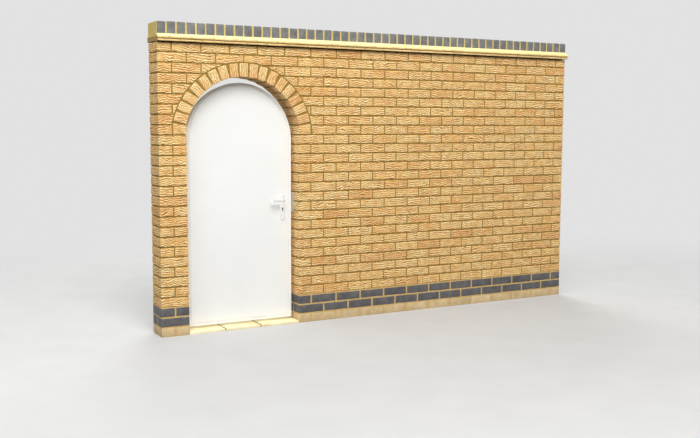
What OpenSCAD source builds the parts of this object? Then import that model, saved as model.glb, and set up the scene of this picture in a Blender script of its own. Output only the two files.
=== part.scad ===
// A straight brick garden wall with a round-headed doorway and its flush arched door.
// The origin is at the middle of the foot: X runs along the wall from the pier end to the free end,
// Y goes through the wall from the garden face to the far face, and Z is up.

/* [Bricks] */
// Length of a brick, which is also the thickness of the wall
brick_len = 215; // [205:1:225]
// Width of a brick, which is also the depth of the arch ring
brick_w = 102.5; // [98:0.5:108]
// Height of a brick
brick_h = 65; // [62:1:70]
// Mortar joint between bricks
joint = 10; // [8:1:12]
// How far the mortar lies back from the face of the arch and coping bricks
mortar_recess = 3; // [1:0.5:5]

/* [Wall] */
// Bricks in the length of the wall
wall_bricks = 17; // [14:1:20]
// Bricks in the width of the pier beside the hinges
pier_bricks = 1; // [1:1:2]
// Courses of smooth brick at the foot
base_courses = 1; // [1:1:2]
// Courses of dark plinth brick
plinth_courses = 2; // [1:1:4]
// Courses of face brick above the plinth
face_courses = 26; // [25:1:30]

/* [Doorway] */
// Clear width between the jambs
opening_w = 910; // [850:10:1000]
// Courses from the foot up to the springing of the arch
spring_courses = 21; // [19:1:22]
// Rise of the arch above its springing
arch_rise = 360; // [320:5:400]
// Thinnest mortar wedge that the ring may have at the soffit
wedge_min = 6; // [5:0.5:8]
// Length of wall beside the opening that carries the ring
jamb_run = 225; // [180:5:300]
// Length of a threshold slab, where the last one fills what is left of the opening
slab_len = 286; // [276:1:300]
// Thickness of the threshold slabs
slab_t = 20; // [15:1:30]
// Mortar joint between the threshold slabs
slab_gap = 5; // [3:1:8]
// How far that mortar lies below the slabs
slab_recess = 3; // [1:0.5:5]

/* [Top of the wall] */
// Thickness of a creasing tile
tile_t = 13; // [10:1:16]
// Mortar bed under each creasing course and under the coping
tile_bed = 7; // [5:1:10]
// How far the tiles stand out from the wall
tile_overhang = 25; // [20:1:35]
// How far the tiles stand out from the free end of the wall
tile_end = 16; // [12:1:30]
// Height of the mortar fillet on the upper tiles
fillet_h = 28; // [20:1:35]
// Height of the fillet's outer edge
fillet_toe = 3; // [2:0.5:5]
// How far the fillet's outer edge lies back from the edge of the tiles
fillet_back = 3; // [2:0.5:6]

/* [Door leaf] */
// Gap between the leaf and each jamb
side_gap = 23; // [17:1:26]
// Gap between the leaf and the threshold
foot_gap = 18; // [12:1:24]
// Gap between the top of the leaf and the crown of the arch
head_gap = 40; // [32:1:50]
// Thickness of the leaf
leaf_t = 44; // [40:1:52]
// Depth of reveal behind the leaf
back_reveal = 73; // [68:1:80]
// Width of the band round the edge of the leaf
band_w = 18; // [14:1:26]
// Width of the groove between the band and the face
groove_w = 3; // [2:0.5:5]
// Depth of that groove
groove_d = 3; // [2:0.5:5]

/* [Hinges] */
// Radius of a hinge pin
pin_r = 8; // [6:0.5:9]
// Running clearance round a hinge pin
pin_fit = 0.1; // [0.05:0.01:0.1]
// Wall of the strap's eye
eye_wall = 5; // [4:0.5:6]
// Gap between the eye and the hook's plate
eye_gap = 5; // [5:0.5:6]
// Distance from the back of the leaf to the pin's axis
pin_back = 38; // [36:0.5:40]
// Height of a strap
strap_h = 40; // [35:1:50]
// Thickness of a strap
strap_t = 5; // [4:0.5:6]
// Length of a strap from the pin's axis
strap_len = 420; // [350:10:500]
// Straight stretch of strap between the eye and the crank
strap_lead = 6; // [4:1:10]
// Width and height of a hook's plate
hook_plate_w = 60; // [50:1:64]
hook_plate_h = 110; // [90:5:140]
// Thickness of a hook's plate
hook_plate_t = 5; // [4:0.5:6]
// Height of the arm that carries a pin
hook_arm_h = 14; // [12:1:18]
// Gap between the eye and the arm that it rests on
rest_gap = 0.3; // [0.2:0.05:0.5]
// How far a pin stands above its eye
pin_stand = 6; // [3:1:10]
// Height of the bottom hinge above the foot of the leaf
hinge_low = 214; // [160:2:300]
// Distance of the top hinge below the springing
hinge_high = 170; // [120:10:240]

/* [Lock] */
// Height of the lever above the ground
lever_z = 977; // [900:1:1050]
// Distance from the edge of the leaf to the lever's axis
backset = 77; // [60:1:90]
// Distance from the lever's axis down to the keyhole
key_drop = 62; // [57:1:72]
// Width of a backplate
plate_w = 40; // [36:1:46]
// Length of a backplate
plate_len = 207; // [196:1:220]
// Distance from the lever's axis up to the top of a backplate
plate_up = 48; // [44:1:54]
// Radius of the round tab at each end of a backplate
plate_tab = 13; // [10:1:16]
// Thickness of a backplate's rim
plate_rim_t = 3; // [2:0.5:4]
// Thickness of a backplate at its raised middle
plate_t = 8; // [6:0.5:10]
// Width of the rim round the raised middle
plate_rim = 4; // [3:0.5:6]
// Radius of the keyhole's round part
key_r = 6.5; // [5:0.5:7.5]
// Width of the keyhole's slot
key_slot_w = 7; // [5:0.5:8]
// Length of the keyhole's slot below the round part
key_slot = 24; // [16:1:26]
// Radius of the lever's stub in the backplate
stub_r = 7; // [6:0.5:7.5]
// Radius of the lever's round bar
lever_r = 9; // [8:0.5:10]
// Length of a lever from its axis to its tip
lever_len = 118; // [95:1:130]
// Distance from the backplate to the middle of the lever's bar
lever_out = 42; // [36:1:50]
// Radius of the lever's bend
lever_bend = 16; // [12:1:20]
// Side of the square spindle
spindle_w = 8; // [6:0.5:8]
// Radius of the spindle's hole through the leaf
spindle_hole_r = 9; // [8:0.5:10]
// Height of the forend in the leaf's edge
forend_h = 160; // [150:2:180]
// Width of the forend
forend_w = 24; // [20:1:28]
// Thickness of the forend and of the keep
keep_t = 3; // [2:0.5:4]
// Height of the keep on the jamb
keep_h = 158; // [150:2:170]
// Width of the keep
keep_w = 44; // [36:1:50]
// How far the middle of the forend and the keep lies below the lever's axis
keep_drop = 18; // [12:1:24]
// How far the keep starts behind the face of the leaf
keep_set = 5; // [2:1:8]
// How far the latch lies above the lever's axis
latch_up = 24; // [0:1:30]
// Width, latch height and bolt height of the holes in the keep
keep_hole_w = 15; // [12:1:18]
latch_h = 24; // [20:1:28]
bolt_h = 34; // [28:1:38]
// How far the drawn-in latch and bolt stand out of the forend
latch_stand = 2; // [1:0.5:4]

/* [Hidden] */
$fn = 96;
// How far a cutting shape runs past the face that it cuts
past_cut = 1;
// Gap between a stub in the forend and the hole in the keep
stub_gap = 1;

wall_t = brick_len;
front_y = -wall_t / 2;
back_y = wall_t / 2;
course = brick_h + joint;
module_len = brick_len + joint;
wall_len = wall_bricks * module_len - joint;
left_x = -(wall_len + tile_end) / 2;
right_x = left_x + wall_len;

pier_w = pier_bricks * module_len - joint;
jamb_l = left_x + pier_w;
jamb_r = jamb_l + opening_w;
door_x = (jamb_l + jamb_r) / 2;

// A joint's middle above course n, counted from the foot
function bed_z(n) = n * course - joint / 2;
base_z = bed_z(base_courses);
plinth_z = bed_z(base_courses + plinth_courses);
spring_z = bed_z(spring_courses);
wall_z = (base_courses + plinth_courses + face_courses) * course - joint;

half_span = opening_w / 2;
ring_in = (half_span * half_span + arch_rise * arch_rise) / (2 * arch_rise);
ring_out = ring_in + brick_w;
ring_z = spring_z + arch_rise - ring_in;
ring_start = asin((spring_z - ring_z) / ring_in);
ring_sweep = 180 - 2 * ring_start;
ring_length = ring_in * ring_sweep * PI / 180;
ring_count = floor(ring_length / (brick_h + wedge_min));
ring_step = ring_sweep / ring_count;
crown_z = spring_z + arch_rise;
spandrel_x = jamb_r + jamb_run;

tile1_z = wall_z + tile_bed;
tile2_z = tile1_z + tile_t + tile_bed;
tile_top = tile2_z + tile_t;
coping_z = tile_top + tile_bed;
coping_top = coping_z + brick_w;
coping_count = floor((wall_len + joint) / (brick_h + joint));
coping_step = (wall_len + joint) / coping_count;
coping_w = coping_step - joint;

slab_step = slab_len + slab_gap;
slab_count = round((opening_w + slab_gap) / slab_step);

leaf_w = opening_w - 2 * side_gap;
leaf_r = leaf_w / 2;
leaf_z = slab_t + foot_gap;
leaf_head_z = crown_z - head_gap - leaf_r;
leaf_back_y = back_y - back_reveal;
leaf_front_y = leaf_back_y - leaf_t;
leaf_mid_y = (leaf_front_y + leaf_back_y) / 2;
leaf_edge_x = door_x + leaf_r;

eye_r = pin_r + pin_fit + eye_wall;
pin_x = jamb_l + hook_plate_t + eye_gap + eye_r;
pin_y = leaf_back_y + pin_back;
hinge_z1 = leaf_z + hinge_low;
hinge_z3 = spring_z - hinge_high;
hinge_z2 = (hinge_z1 + hinge_z3) / 2;

lever_x = leaf_edge_x - backset;
key_z = lever_z - key_drop;
keep_z = lever_z - keep_drop;
latch_z = lever_z + latch_up;
plate_top_z = lever_z + plate_up;

// A stretch of wall from x0 to x1 and z0 to z1, right through
module wall_block(x0, x1, z0, z1) {
    translate([x0, front_y, z0])
        cube([x1 - x0, wall_t, z1 - z0]);
}

// A flat outline drawn in X and Z, given a thickness from y0 to y1
module upright(y0, y1) {
    translate([0, y1, 0])
        rotate([90, 0, 0])
            linear_extrude(y1 - y0)
                children();
}

// The pie slice of the ring between its two springings, out to radius r
module ring_slice(r) {
    reach = 3 * r;
    intersection() {
        circle(r);
        polygon([
            [0, 0],
            [reach * cos(ring_start), reach * sin(ring_start)],
            [reach, reach],
            [-reach, reach],
            [-reach * cos(ring_start), reach * sin(ring_start)]
        ]);
    }
}

module base_course_left() {
    color([0.80, 0.66, 0.47]) wall_block(left_x, jamb_l, 0, base_z);
}

module base_course_right() {
    color([0.80, 0.66, 0.47]) wall_block(jamb_r, right_x, 0, base_z);
}

module plinth_left() {
    color([0.33, 0.34, 0.37]) wall_block(left_x, jamb_l, base_z, plinth_z);
}

module plinth_right() {
    color([0.33, 0.34, 0.37]) wall_block(jamb_r, right_x, base_z, plinth_z);
}

module left_pier() {
    color([0.85, 0.68, 0.42]) wall_block(left_x, jamb_l, plinth_z, spring_z);
}

module right_pier() {
    color([0.85, 0.68, 0.42]) wall_block(jamb_r, spandrel_x, plinth_z, spring_z);
}

module long_wall() {
    color([0.84, 0.66, 0.40]) wall_block(spandrel_x, right_x, plinth_z, wall_z);
}

module wall_over_doorway() {
    color([0.85, 0.68, 0.42])
        difference() {
            wall_block(left_x, spandrel_x, spring_z, wall_z);
            translate([door_x, 0, ring_z])
                upright(front_y - past_cut, back_y + past_cut)
                    ring_slice(ring_out + joint);
        }
}

// One brick of the ring, its middle at the given angle from level
module ring_brick(angle) {
    translate([door_x, 0, ring_z])
        rotate([0, -angle, 0])
            translate([ring_in, front_y, -brick_h / 2])
                cube([brick_w, wall_t, brick_h]);
}

module ring_bricks() {
    for (i = [0 : ring_count - 1])
        ring_brick(ring_start + (i + 0.5) * ring_step);
}

module arch_bricks() {
    color([0.87, 0.70, 0.45]) ring_bricks();
}

module arch_mortar() {
    color([0.62, 0.50, 0.30])
        difference() {
            translate([door_x, 0, ring_z])
                upright(front_y + mortar_recess, back_y - mortar_recess)
                    difference() {
                        ring_slice(ring_out + joint);
                        circle(ring_in + mortar_recess);
                    }
            ring_bricks();
        }
}

// One layer along the whole wall, standing out at its sides and past its free end
module top_layer(out, past, z0, z1) {
    translate([left_x, front_y - out, z0])
        cube([wall_len + past, wall_t + 2 * out, z1 - z0]);
}

module creasing_mortar() {
    color([0.62, 0.50, 0.30]) {
        top_layer(0, 0, wall_z, tile1_z);
        top_layer(tile_overhang - 2 * mortar_recess, tile_end - 2 * mortar_recess, tile1_z + tile_t, tile2_z);
    }
}

module creasing_lower() {
    color([0.80, 0.67, 0.45]) top_layer(tile_overhang, tile_end, tile1_z, tile1_z + tile_t);
}

module creasing_upper() {
    color([0.80, 0.67, 0.45]) top_layer(tile_overhang, tile_end, tile2_z, tile_top);
}

// The fillet's section, drawn outwards from the coping's face
module fillet_section(reach) {
    polygon([
        [0, 0],
        [reach, 0],
        [reach, fillet_toe],
        [0, fillet_h]
    ]);
}

module fillet_run(length) {
    rotate([90, 0, 90])
        linear_extrude(length)
            mirror([1, 0])
                fillet_section(tile_overhang - fillet_back);
}

// The fillet along the face at front_y, past the free end by the given length
module fillet_side(past) {
    translate([left_x, front_y, tile_top])
        fillet_run(wall_len + past);
}

module fillet_end(past) {
    translate([right_x, front_y - past, tile_top])
        rotate([90, 0, 180])
            mirror([1, 0, 0])
                linear_extrude(wall_t + 2 * past)
                    fillet_section(tile_end - fillet_back);
}

module fillet_half() {
    fillet_side(0);
    intersection() {
        fillet_side(tile_end);
        fillet_end(tile_overhang);
    }
}

module fillet() {
    color([0.93, 0.86, 0.62]) {
        fillet_half();
        mirror([0, 1, 0]) fillet_half();
        fillet_end(0);
    }
}

module coping_row() {
    for (i = [0 : coping_count - 1])
        translate([left_x + i * coping_step, front_y, coping_z])
            cube([coping_w, wall_t, brick_w]);
}

module coping_bricks() {
    color([0.42, 0.44, 0.47]) coping_row();
}

module coping_mortar() {
    color([0.78, 0.67, 0.42])
        difference() {
            translate([left_x, front_y + mortar_recess, tile_top])
                cube([wall_len, wall_t - 2 * mortar_recess, coping_top - mortar_recess - tile_top]);
            coping_row();
        }
}

module threshold_slabs() {
    color([0.90, 0.84, 0.66])
        for (i = [0 : slab_count - 1]) {
            x = jamb_l + i * slab_step;
            length = i < slab_count - 1 ? slab_len : jamb_r - x;
            translate([x, front_y, 0])
                cube([length, wall_t, slab_t]);
        }
}

module threshold_joints() {
    color([0.55, 0.47, 0.34])
        for (i = [1 : slab_count - 1])
            translate([jamb_l + i * slab_step - slab_gap, front_y + slab_recess, 0])
                cube([slab_gap, wall_t - 2 * slab_recess, slab_t - slab_recess]);
}

// The outline of the leaf, drawn in X and Z and brought in by the given amount
module leaf_outline(inset) {
    translate([door_x, leaf_head_z]) {
        intersection() {
            circle(leaf_r - inset);
            translate([-leaf_r, 0]) square([2 * leaf_r, leaf_r]);
        }
        translate([-leaf_r + inset, leaf_z + inset - leaf_head_z])
            square([2 * (leaf_r - inset), leaf_head_z - leaf_z - inset]);
    }
}

module spindle_hole() {
    translate([lever_x, leaf_front_y - past_cut, lever_z])
        rotate([-90, 0, 0])
            cylinder(r = spindle_hole_r, h = leaf_t + 2 * past_cut);
}

module leaf_panel() {
    color([0.93, 0.93, 0.91])
        difference() {
            union() {
                upright(leaf_front_y + groove_d, leaf_back_y - groove_d)
                    leaf_outline(band_w);
                upright(leaf_front_y, leaf_back_y)
                    leaf_outline(band_w + groove_w);
            }
            spindle_hole();
        }
}

// The plate in the lock edge of the leaf, and its pocket, which runs past the edge
module forend_block(past) {
    translate([leaf_edge_x - keep_t, leaf_mid_y - forend_w / 2, keep_z - forend_h / 2])
        cube([keep_t + past, forend_w, forend_h]);
}

module leaf_edge_band() {
    color([0.90, 0.90, 0.88])
        difference() {
            upright(leaf_front_y, leaf_back_y)
                difference() {
                    leaf_outline(0);
                    leaf_outline(band_w);
                }
            forend_block(keep_t);
        }
}

module lock_forend() {
    color([0.75, 0.75, 0.74]) {
        forend_block(0);
        translate([leaf_edge_x, leaf_mid_y - keep_hole_w / 2 + stub_gap, latch_z - latch_h / 2 + stub_gap])
            cube([latch_stand, keep_hole_w - 2 * stub_gap, latch_h - 2 * stub_gap]);
        translate([leaf_edge_x, leaf_mid_y - keep_hole_w / 2 + stub_gap, key_z - bolt_h / 2 + stub_gap])
            cube([latch_stand, keep_hole_w - 2 * stub_gap, bolt_h - 2 * stub_gap]);
    }
}

module keep_plate() {
    color([0.72, 0.73, 0.72])
        difference() {
            translate([jamb_r - keep_t, leaf_front_y + keep_set, keep_z - keep_h / 2])
                cube([keep_t, keep_w, keep_h]);
            translate([jamb_r - keep_t - past_cut, leaf_mid_y - keep_hole_w / 2, latch_z - latch_h / 2])
                cube([keep_t + 2 * past_cut, keep_hole_w, latch_h]);
            translate([jamb_r - keep_t - past_cut, leaf_mid_y - keep_hole_w / 2, key_z - bolt_h / 2])
                cube([keep_t + 2 * past_cut, keep_hole_w, bolt_h]);
        }
}

// The cranked run of a strap seen from above, from the pin to its tip
module strap_plan() {
    near_y = pin_y - eye_r;
    x1 = pin_x + eye_r + strap_lead;
    x2 = x1 + near_y - leaf_back_y;
    mitre = strap_t * tan(22.5);
    polygon([
        [pin_x, near_y],
        [x1, near_y],
        [x2, leaf_back_y],
        [pin_x + strap_len, leaf_back_y],
        [pin_x + strap_len, leaf_back_y + strap_t],
        [x2 + mitre, leaf_back_y + strap_t],
        [x1 + mitre, near_y + strap_t],
        [pin_x, near_y + strap_t]
    ]);
}

// The strap's face outline, with its rounded tip
module strap_face() {
    translate([0, -strap_h / 2])
        square([strap_len - strap_h / 2, strap_h]);
    translate([strap_len - strap_h / 2, 0])
        circle(strap_h / 2);
}

module strap(z) {
    color([0.20, 0.20, 0.21])
        difference() {
            union() {
                translate([pin_x, pin_y, z - strap_h / 2])
                    cylinder(r = eye_r, h = strap_h);
                intersection() {
                    translate([0, 0, z - strap_h / 2])
                        linear_extrude(strap_h)
                            strap_plan();
                    translate([pin_x, 0, z])
                        upright(leaf_back_y - past_cut, pin_y + past_cut)
                            strap_face();
                }
            }
            translate([pin_x, pin_y, z - strap_h / 2 - past_cut])
                cylinder(r = pin_r + pin_fit, h = strap_h + 2 * past_cut);
        }
}

module hook(z) {
    arm_z = z - strap_h / 2 - rest_gap - hook_arm_h;
    color([0.20, 0.20, 0.21]) {
        translate([jamb_l, pin_y - hook_plate_w / 2, arm_z - hook_plate_w / 2])
            cube([hook_plate_t, hook_plate_w, hook_plate_h]);
        translate([jamb_l, pin_y - pin_r, arm_z])
            cube([pin_x - jamb_l, 2 * pin_r, hook_arm_h]);
        translate([pin_x, pin_y, arm_z])
            cylinder(r = pin_r, h = hook_arm_h + rest_gap + strap_h + pin_stand);
    }
}

module band_bottom() {
    strap(hinge_z1);
}

module band_middle() {
    strap(hinge_z2);
}

module band_top() {
    strap(hinge_z3);
}

module hook_bottom() {
    hook(hinge_z1);
}

module hook_middle() {
    hook(hinge_z2);
}

module hook_top() {
    hook(hinge_z3);
}

// A plate with a round tab at each end, brought in by the given amount
module plate_outline(inset) {
    half_w = plate_w / 2 - inset;
    shoulder_top = plate_top_z - plate_tab;
    shoulder_foot = plate_top_z - plate_len + plate_tab;
    for (z = [shoulder_foot, shoulder_top])
        translate([lever_x, z])
            circle(plate_tab - inset);
    translate([lever_x - half_w, shoulder_foot + inset])
        square([2 * half_w, shoulder_top - shoulder_foot - 2 * inset]);
}

module keyhole_outline() {
    translate([lever_x, key_z]) circle(key_r);
    translate([lever_x - key_slot_w / 2, key_z - key_slot])
        square([key_slot_w, key_slot]);
}

// A backplate on the face at front_y of the leaf, its back against the leaf
module backplate() {
    difference() {
        union() {
            upright(-plate_rim_t, 0) plate_outline(0);
            upright(-plate_t, 0) plate_outline(plate_rim);
        }
        upright(-plate_t - past_cut, -plate_rim_t / 2) keyhole_outline();
        translate([lever_x, -plate_t - past_cut, lever_z])
            rotate([-90, 0, 0])
                cylinder(r = stub_r + pin_fit, h = plate_t + 2 * past_cut);
    }
}

// A lever on the same face: stub, neck, bend, bar and rounded tip
module lever() {
    bar_y = -plate_t - lever_out;
    translate([lever_x, 0, lever_z]) {
        translate([0, -plate_t - rest_gap, 0])
            rotate([-90, 0, 0])
                cylinder(r = stub_r, h = plate_t + rest_gap);
        translate([0, bar_y + lever_bend, 0])
            rotate([-90, 0, 0])
                cylinder(r = lever_r, h = lever_out - lever_bend - rest_gap);
        translate([-lever_bend, bar_y + lever_bend, 0])
            rotate([0, 0, -90])
                rotate_extrude(angle = 90)
                    translate([lever_bend, 0])
                        circle(lever_r);
        translate([-lever_len + lever_r, bar_y, 0]) {
            rotate([0, 90, 0])
                cylinder(r = lever_r, h = lever_len - lever_r - lever_bend);
            sphere(lever_r);
        }
    }
}

module backplate_front() {
    color([0.78, 0.78, 0.77]) translate([0, leaf_front_y, 0]) backplate();
}

module backplate_back() {
    color([0.78, 0.78, 0.77]) translate([0, leaf_back_y, 0]) mirror([0, 1, 0]) backplate();
}

module lever_front() {
    color([0.80, 0.80, 0.79]) translate([0, leaf_front_y, 0]) lever();
}

module lever_back() {
    color([0.80, 0.80, 0.79]) translate([0, leaf_back_y, 0]) mirror([0, 1, 0]) lever();
}

module spindle() {
    color([0.60, 0.60, 0.60])
        translate([lever_x - spindle_w / 2, leaf_front_y, lever_z - spindle_w / 2])
            cube([spindle_w, leaf_t, spindle_w]);
}

base_course_left();
base_course_right();
plinth_left();
plinth_right();
left_pier();
right_pier();
long_wall();
wall_over_doorway();
arch_bricks();
arch_mortar();
creasing_mortar();
creasing_lower();
creasing_upper();
fillet();
coping_bricks();
coping_mortar();
threshold_slabs();
threshold_joints();
keep_plate();
hook_bottom();
hook_middle();
hook_top();
leaf_panel();
leaf_edge_band();
band_bottom();
band_middle();
band_top();
lock_forend();
backplate_front();
backplate_back();
lever_front();
lever_back();
spindle();
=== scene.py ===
# %% [markdown]
# # A garden wall, its arch and its door
#
# The object is a straight wall of golden rustic brick, one brick thick. It has a dark plinth, a coping of
# dark bricks on edge and a round-headed doorway near one end, with a flush white door in it.
#
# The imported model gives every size. This notebook lays real bricks, tiles and slabs over those sizes,
# gives each finish a material made of nodes, and then sets up the light.

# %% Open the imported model
import math

import bmesh
import bpy
import numpy as np
from mathutils import Matrix, Vector
from mathutils.geometry import tessellate_polygon


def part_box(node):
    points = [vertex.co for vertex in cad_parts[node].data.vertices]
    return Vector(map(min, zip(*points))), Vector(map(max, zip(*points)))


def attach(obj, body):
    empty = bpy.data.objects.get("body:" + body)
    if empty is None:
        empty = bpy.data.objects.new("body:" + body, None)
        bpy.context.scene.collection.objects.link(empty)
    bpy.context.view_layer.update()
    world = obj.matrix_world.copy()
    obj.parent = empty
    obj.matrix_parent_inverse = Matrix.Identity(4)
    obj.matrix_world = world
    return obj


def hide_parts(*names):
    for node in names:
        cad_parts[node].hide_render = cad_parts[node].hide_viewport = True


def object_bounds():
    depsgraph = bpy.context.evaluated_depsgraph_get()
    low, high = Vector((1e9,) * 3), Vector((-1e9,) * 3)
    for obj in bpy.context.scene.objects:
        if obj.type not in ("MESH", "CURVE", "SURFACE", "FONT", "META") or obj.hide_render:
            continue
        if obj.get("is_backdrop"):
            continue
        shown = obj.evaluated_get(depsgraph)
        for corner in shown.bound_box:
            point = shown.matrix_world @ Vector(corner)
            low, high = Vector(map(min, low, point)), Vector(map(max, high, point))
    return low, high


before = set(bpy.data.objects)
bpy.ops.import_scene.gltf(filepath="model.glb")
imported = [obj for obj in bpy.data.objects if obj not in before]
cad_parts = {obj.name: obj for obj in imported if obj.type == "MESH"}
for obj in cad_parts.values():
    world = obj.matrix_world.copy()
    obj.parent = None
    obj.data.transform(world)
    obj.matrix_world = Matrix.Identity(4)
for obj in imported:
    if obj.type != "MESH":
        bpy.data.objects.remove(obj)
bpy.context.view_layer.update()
print("nodes in the model:", len(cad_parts))

# %% [markdown]
# ## The camera
#
# A camera can be solved from a brick wall, because the place of every joint is known. The joints gave the
# camera's place, its turn and its lens. Blender also takes a matrix or a target to look at, but a place
# and three angles are the easiest to read: tipped six degrees down from level, leaning by a fifth of a
# degree, and turned to the right.

# %% Set up the camera
FOCAL_PIXELS, IMAGE_WIDTH, SENSOR = 927.8, 700, 36.0
CAMERA_PLACE = (-3.9294, -6.6954, 1.5879)
CAMERA_TURN = (84.0943, -0.2015, -28.6173)


def add_object(name, data):
    """Puts a mesh, a lamp or a camera in the scene."""
    added = bpy.data.objects.new(name, data)
    bpy.context.scene.collection.objects.link(added)
    return added


camera_data = bpy.data.cameras.new("garden_camera")
camera_data.sensor_width = SENSOR
camera_data.lens = FOCAL_PIXELS * SENSOR / IMAGE_WIDTH
camera_data.clip_end = 200
camera = add_object("garden_camera", camera_data)
camera.location = CAMERA_PLACE
camera.rotation_euler = [math.radians(angle) for angle in CAMERA_TURN]
bpy.context.scene.camera = camera
print("lens in millimetres:", round(camera_data.lens, 2))

# %% [markdown]
# ## The sizes that the bricks share
#
# Everything in a brick wall is a multiple of one brick and one joint. The places below could be typed in,
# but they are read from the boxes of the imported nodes, so that the bricks always fall on the model.

# %% Read the wall's sizes from the model
BRICK_L, BRICK_W, BRICK_H, JOINT = 0.215, 0.1025, 0.065, 0.010
COURSE = BRICK_H + JOINT

wall_low, wall_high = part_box("long_wall")
front_y, back_y = wall_low.y, wall_high.y
left_x, right_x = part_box("left_pier")[0].x, wall_high.x
jamb_left, jamb_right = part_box("left_pier")[1].x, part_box("right_pier")[0].x
plinth_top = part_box("left_pier")[0].z
spring_z, wall_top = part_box("left_pier")[1].z, wall_high.z
door_x = (jamb_left + jamb_right) / 2
course_count = round((wall_top + JOINT) / COURSE)
brick_count = round((right_x - left_x + JOINT) / (BRICK_L + JOINT))
print("courses:", course_count, "bricks in a course:", brick_count)

# %% Find the arch's circle
RING_COUNT, RISE = 17, 0.360
half_span = (jamb_right - jamb_left) / 2
ring_in = (half_span ** 2 + RISE ** 2) / (2 * RISE)
ring_out = ring_in + BRICK_W
ring_z = spring_z + RISE - ring_in
ring_start = math.asin((spring_z - ring_z) / ring_in)
ring_step = (math.pi - 2 * ring_start) / RING_COUNT
print("radius of the arch:", round(ring_in, 4), "from", round(math.degrees(ring_start), 1), "degrees")

# %% [markdown]
# ## Rough brick faces
#
# A rustic brick is dragged with wires while the clay is soft, which leaves wavy furrows along its length,
# about one for each finger's breadth. In Blender this can be a displacement texture or plain arithmetic
# on the vertices. Arithmetic is used here, because the same furrows can then also be coloured: the mesh
# keeps each point's place between two furrows, its phase, and the material works out the rest. The noise
# below is a grid of repeatable random numbers with smooth blending between them, and it makes the furrows
# wander and fade.

# %% A repeatable noise
STIR_PLACE = (374761393, 668265263, 1442695041)
STIR_SEED, STIR_AGAIN = 974634777, 1274126177
KEPT_BITS, LAST_BITS = 0x7fffffffffff, 0xffff


def scatter(place, seed):
    """A number from -1 to 1 for each whole-number place, always the same for the same place and seed."""
    n = (place * STIR_PLACE).sum(axis=1) + seed * STIR_SEED
    n = (n ^ (n >> 13)) * STIR_AGAIN & KEPT_BITS
    n = (n ^ (n >> 16)) & LAST_BITS
    return n / (LAST_BITS / 2) - 1.0


def noise(points, seed=0):
    """Smooth noise from -1 to 1 at an array of points."""
    cell = np.floor(points).astype(np.int64)
    part = points - cell
    part = part * part * (3 - 2 * part)
    total = np.zeros(len(points))
    for corner in range(8):
        step = np.array([corner & 1, corner >> 1 & 1, corner >> 2 & 1])
        weight = np.prod(np.where(step, part, 1 - part), axis=1)
        total += weight * scatter(cell + step, seed)
    return total


sample = noise(np.random.default_rng(1).random((2000, 3)) * 40)
print("noise runs from", round(sample.min(), 2), "to", round(sample.max(), 2))

# %% The furrows of a dragged face
FURROW_PITCH, FURROW_DEPTH, PLAIN_LEVEL = 0.0175, 0.0030, 0.62
FURROW_SWAY, FACE_LEVEL = 0.0130, -0.0004


def rustic_relief(p):
    """Depth in metres of the dragged face at brick places p, with each place's phase and strength."""
    sway = noise(p * (28, 28, 12), 1) + 0.80 * noise(p * (60, 60, 22), 5)
    phase = (p[:, 2] + FURROW_SWAY * sway) / FURROW_PITCH
    strength = np.clip(0.72 + 0.85 * noise(p * (38, 38, 56), 2), 0.10, 1.0)
    level = PLAIN_LEVEL + (np.abs(np.sin(np.pi * phase)) - PLAIN_LEVEL) * strength
    depth = FACE_LEVEL - FURROW_DEPTH * (1 - level) + 0.0003 * noise(p * 14, 3)
    return depth, phase, strength


def soft_relief(p):
    """The same, fainter, as on the ends of bricks."""
    depth, phase, strength = rustic_relief(p)
    return depth * 0.7, phase, strength * 0.6


check = rustic_relief(np.random.default_rng(2).random((2000, 3)) * 0.2)[0]
print("deepest furrow in millimetres:", round(-check.min() * 1000, 2))


# %% Faces without furrows
def unfurrowed(depth):
    """A face's depths, with a phase in the middle and no strength."""
    return depth, np.full(len(depth), 0.5), np.zeros(len(depth))


def smooth_relief(p):
    """Depth of a plain pressed or cut face."""
    return unfurrowed(FACE_LEVEL + 0.00025 * noise(p * 14, 7) + 0.0001 * noise(p * 70, 8))


def tile_relief(p):
    """Depth of a plain clay tile's edge."""
    return unfurrowed(-0.0006 + 0.0005 * noise(p * 9, 9))


check = smooth_relief(np.random.default_rng(2).random((2000, 3)) * 0.2)[0]
print("deepest dip of a smooth face in millimetres:", round(-check.min() * 1000, 2))

# %% [markdown]
# ## One brick
#
# A brick is made as a closed box. Seen from above it is a loop of points: close together along the sides
# that show, far apart along the sides that the mortar hides, and one point on each rounded corner. The
# loop is repeated at several heights, and the first and last loops are drawn in a little to round the
# long edges. A subdivided cube with a bevel would be quicker to write, but it spends as many points on
# its hidden sides as on its face.

# %% The loop round a brick
CORNER_CUT, DIAGONAL = 0.2929, 0.7071


def loop_round(length, width, shown, step, corner):
    """Points round a box seen from above, the way each faces, and 1 where that side shows. Sides are named
    front, right, back and left by their first letters, and the front is the side at width 0."""
    along = {"f": (1, 0), "r": (0, 1), "b": (-1, 0), "l": (0, -1)}
    start = {"f": (0, 0), "r": (length, 0), "b": (length, width), "l": (0, width)}
    points, facing, visible = [], [], []
    for side, following in zip("frbl", "rblf"):
        run = length if side in "fb" else width
        direction = np.array(along[side], float)
        outward = np.array([direction[1], -direction[0]])
        pieces = max(1, round((run - 2 * corner) / step)) if side in shown else 1
        for t in np.linspace(corner, run - corner, pieces + 1):
            points.append(start[side] + direction * t)
            facing.append(outward)
            visible.append(float(side in shown))
        next_out = np.array([along[following][1], -along[following][0]], float)
        points.append(start[side] + direction * run - (outward + next_out) * corner * CORNER_CUT)
        facing.append((outward + next_out) * DIAGONAL)
        visible.append(float(side in shown or following in shown))
    return np.array(points), np.array(facing), np.array(visible)


print("points round a stretcher:", len(loop_round(BRICK_L, BRICK_W, "f", 0.014, 0.003)[0]))


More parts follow.
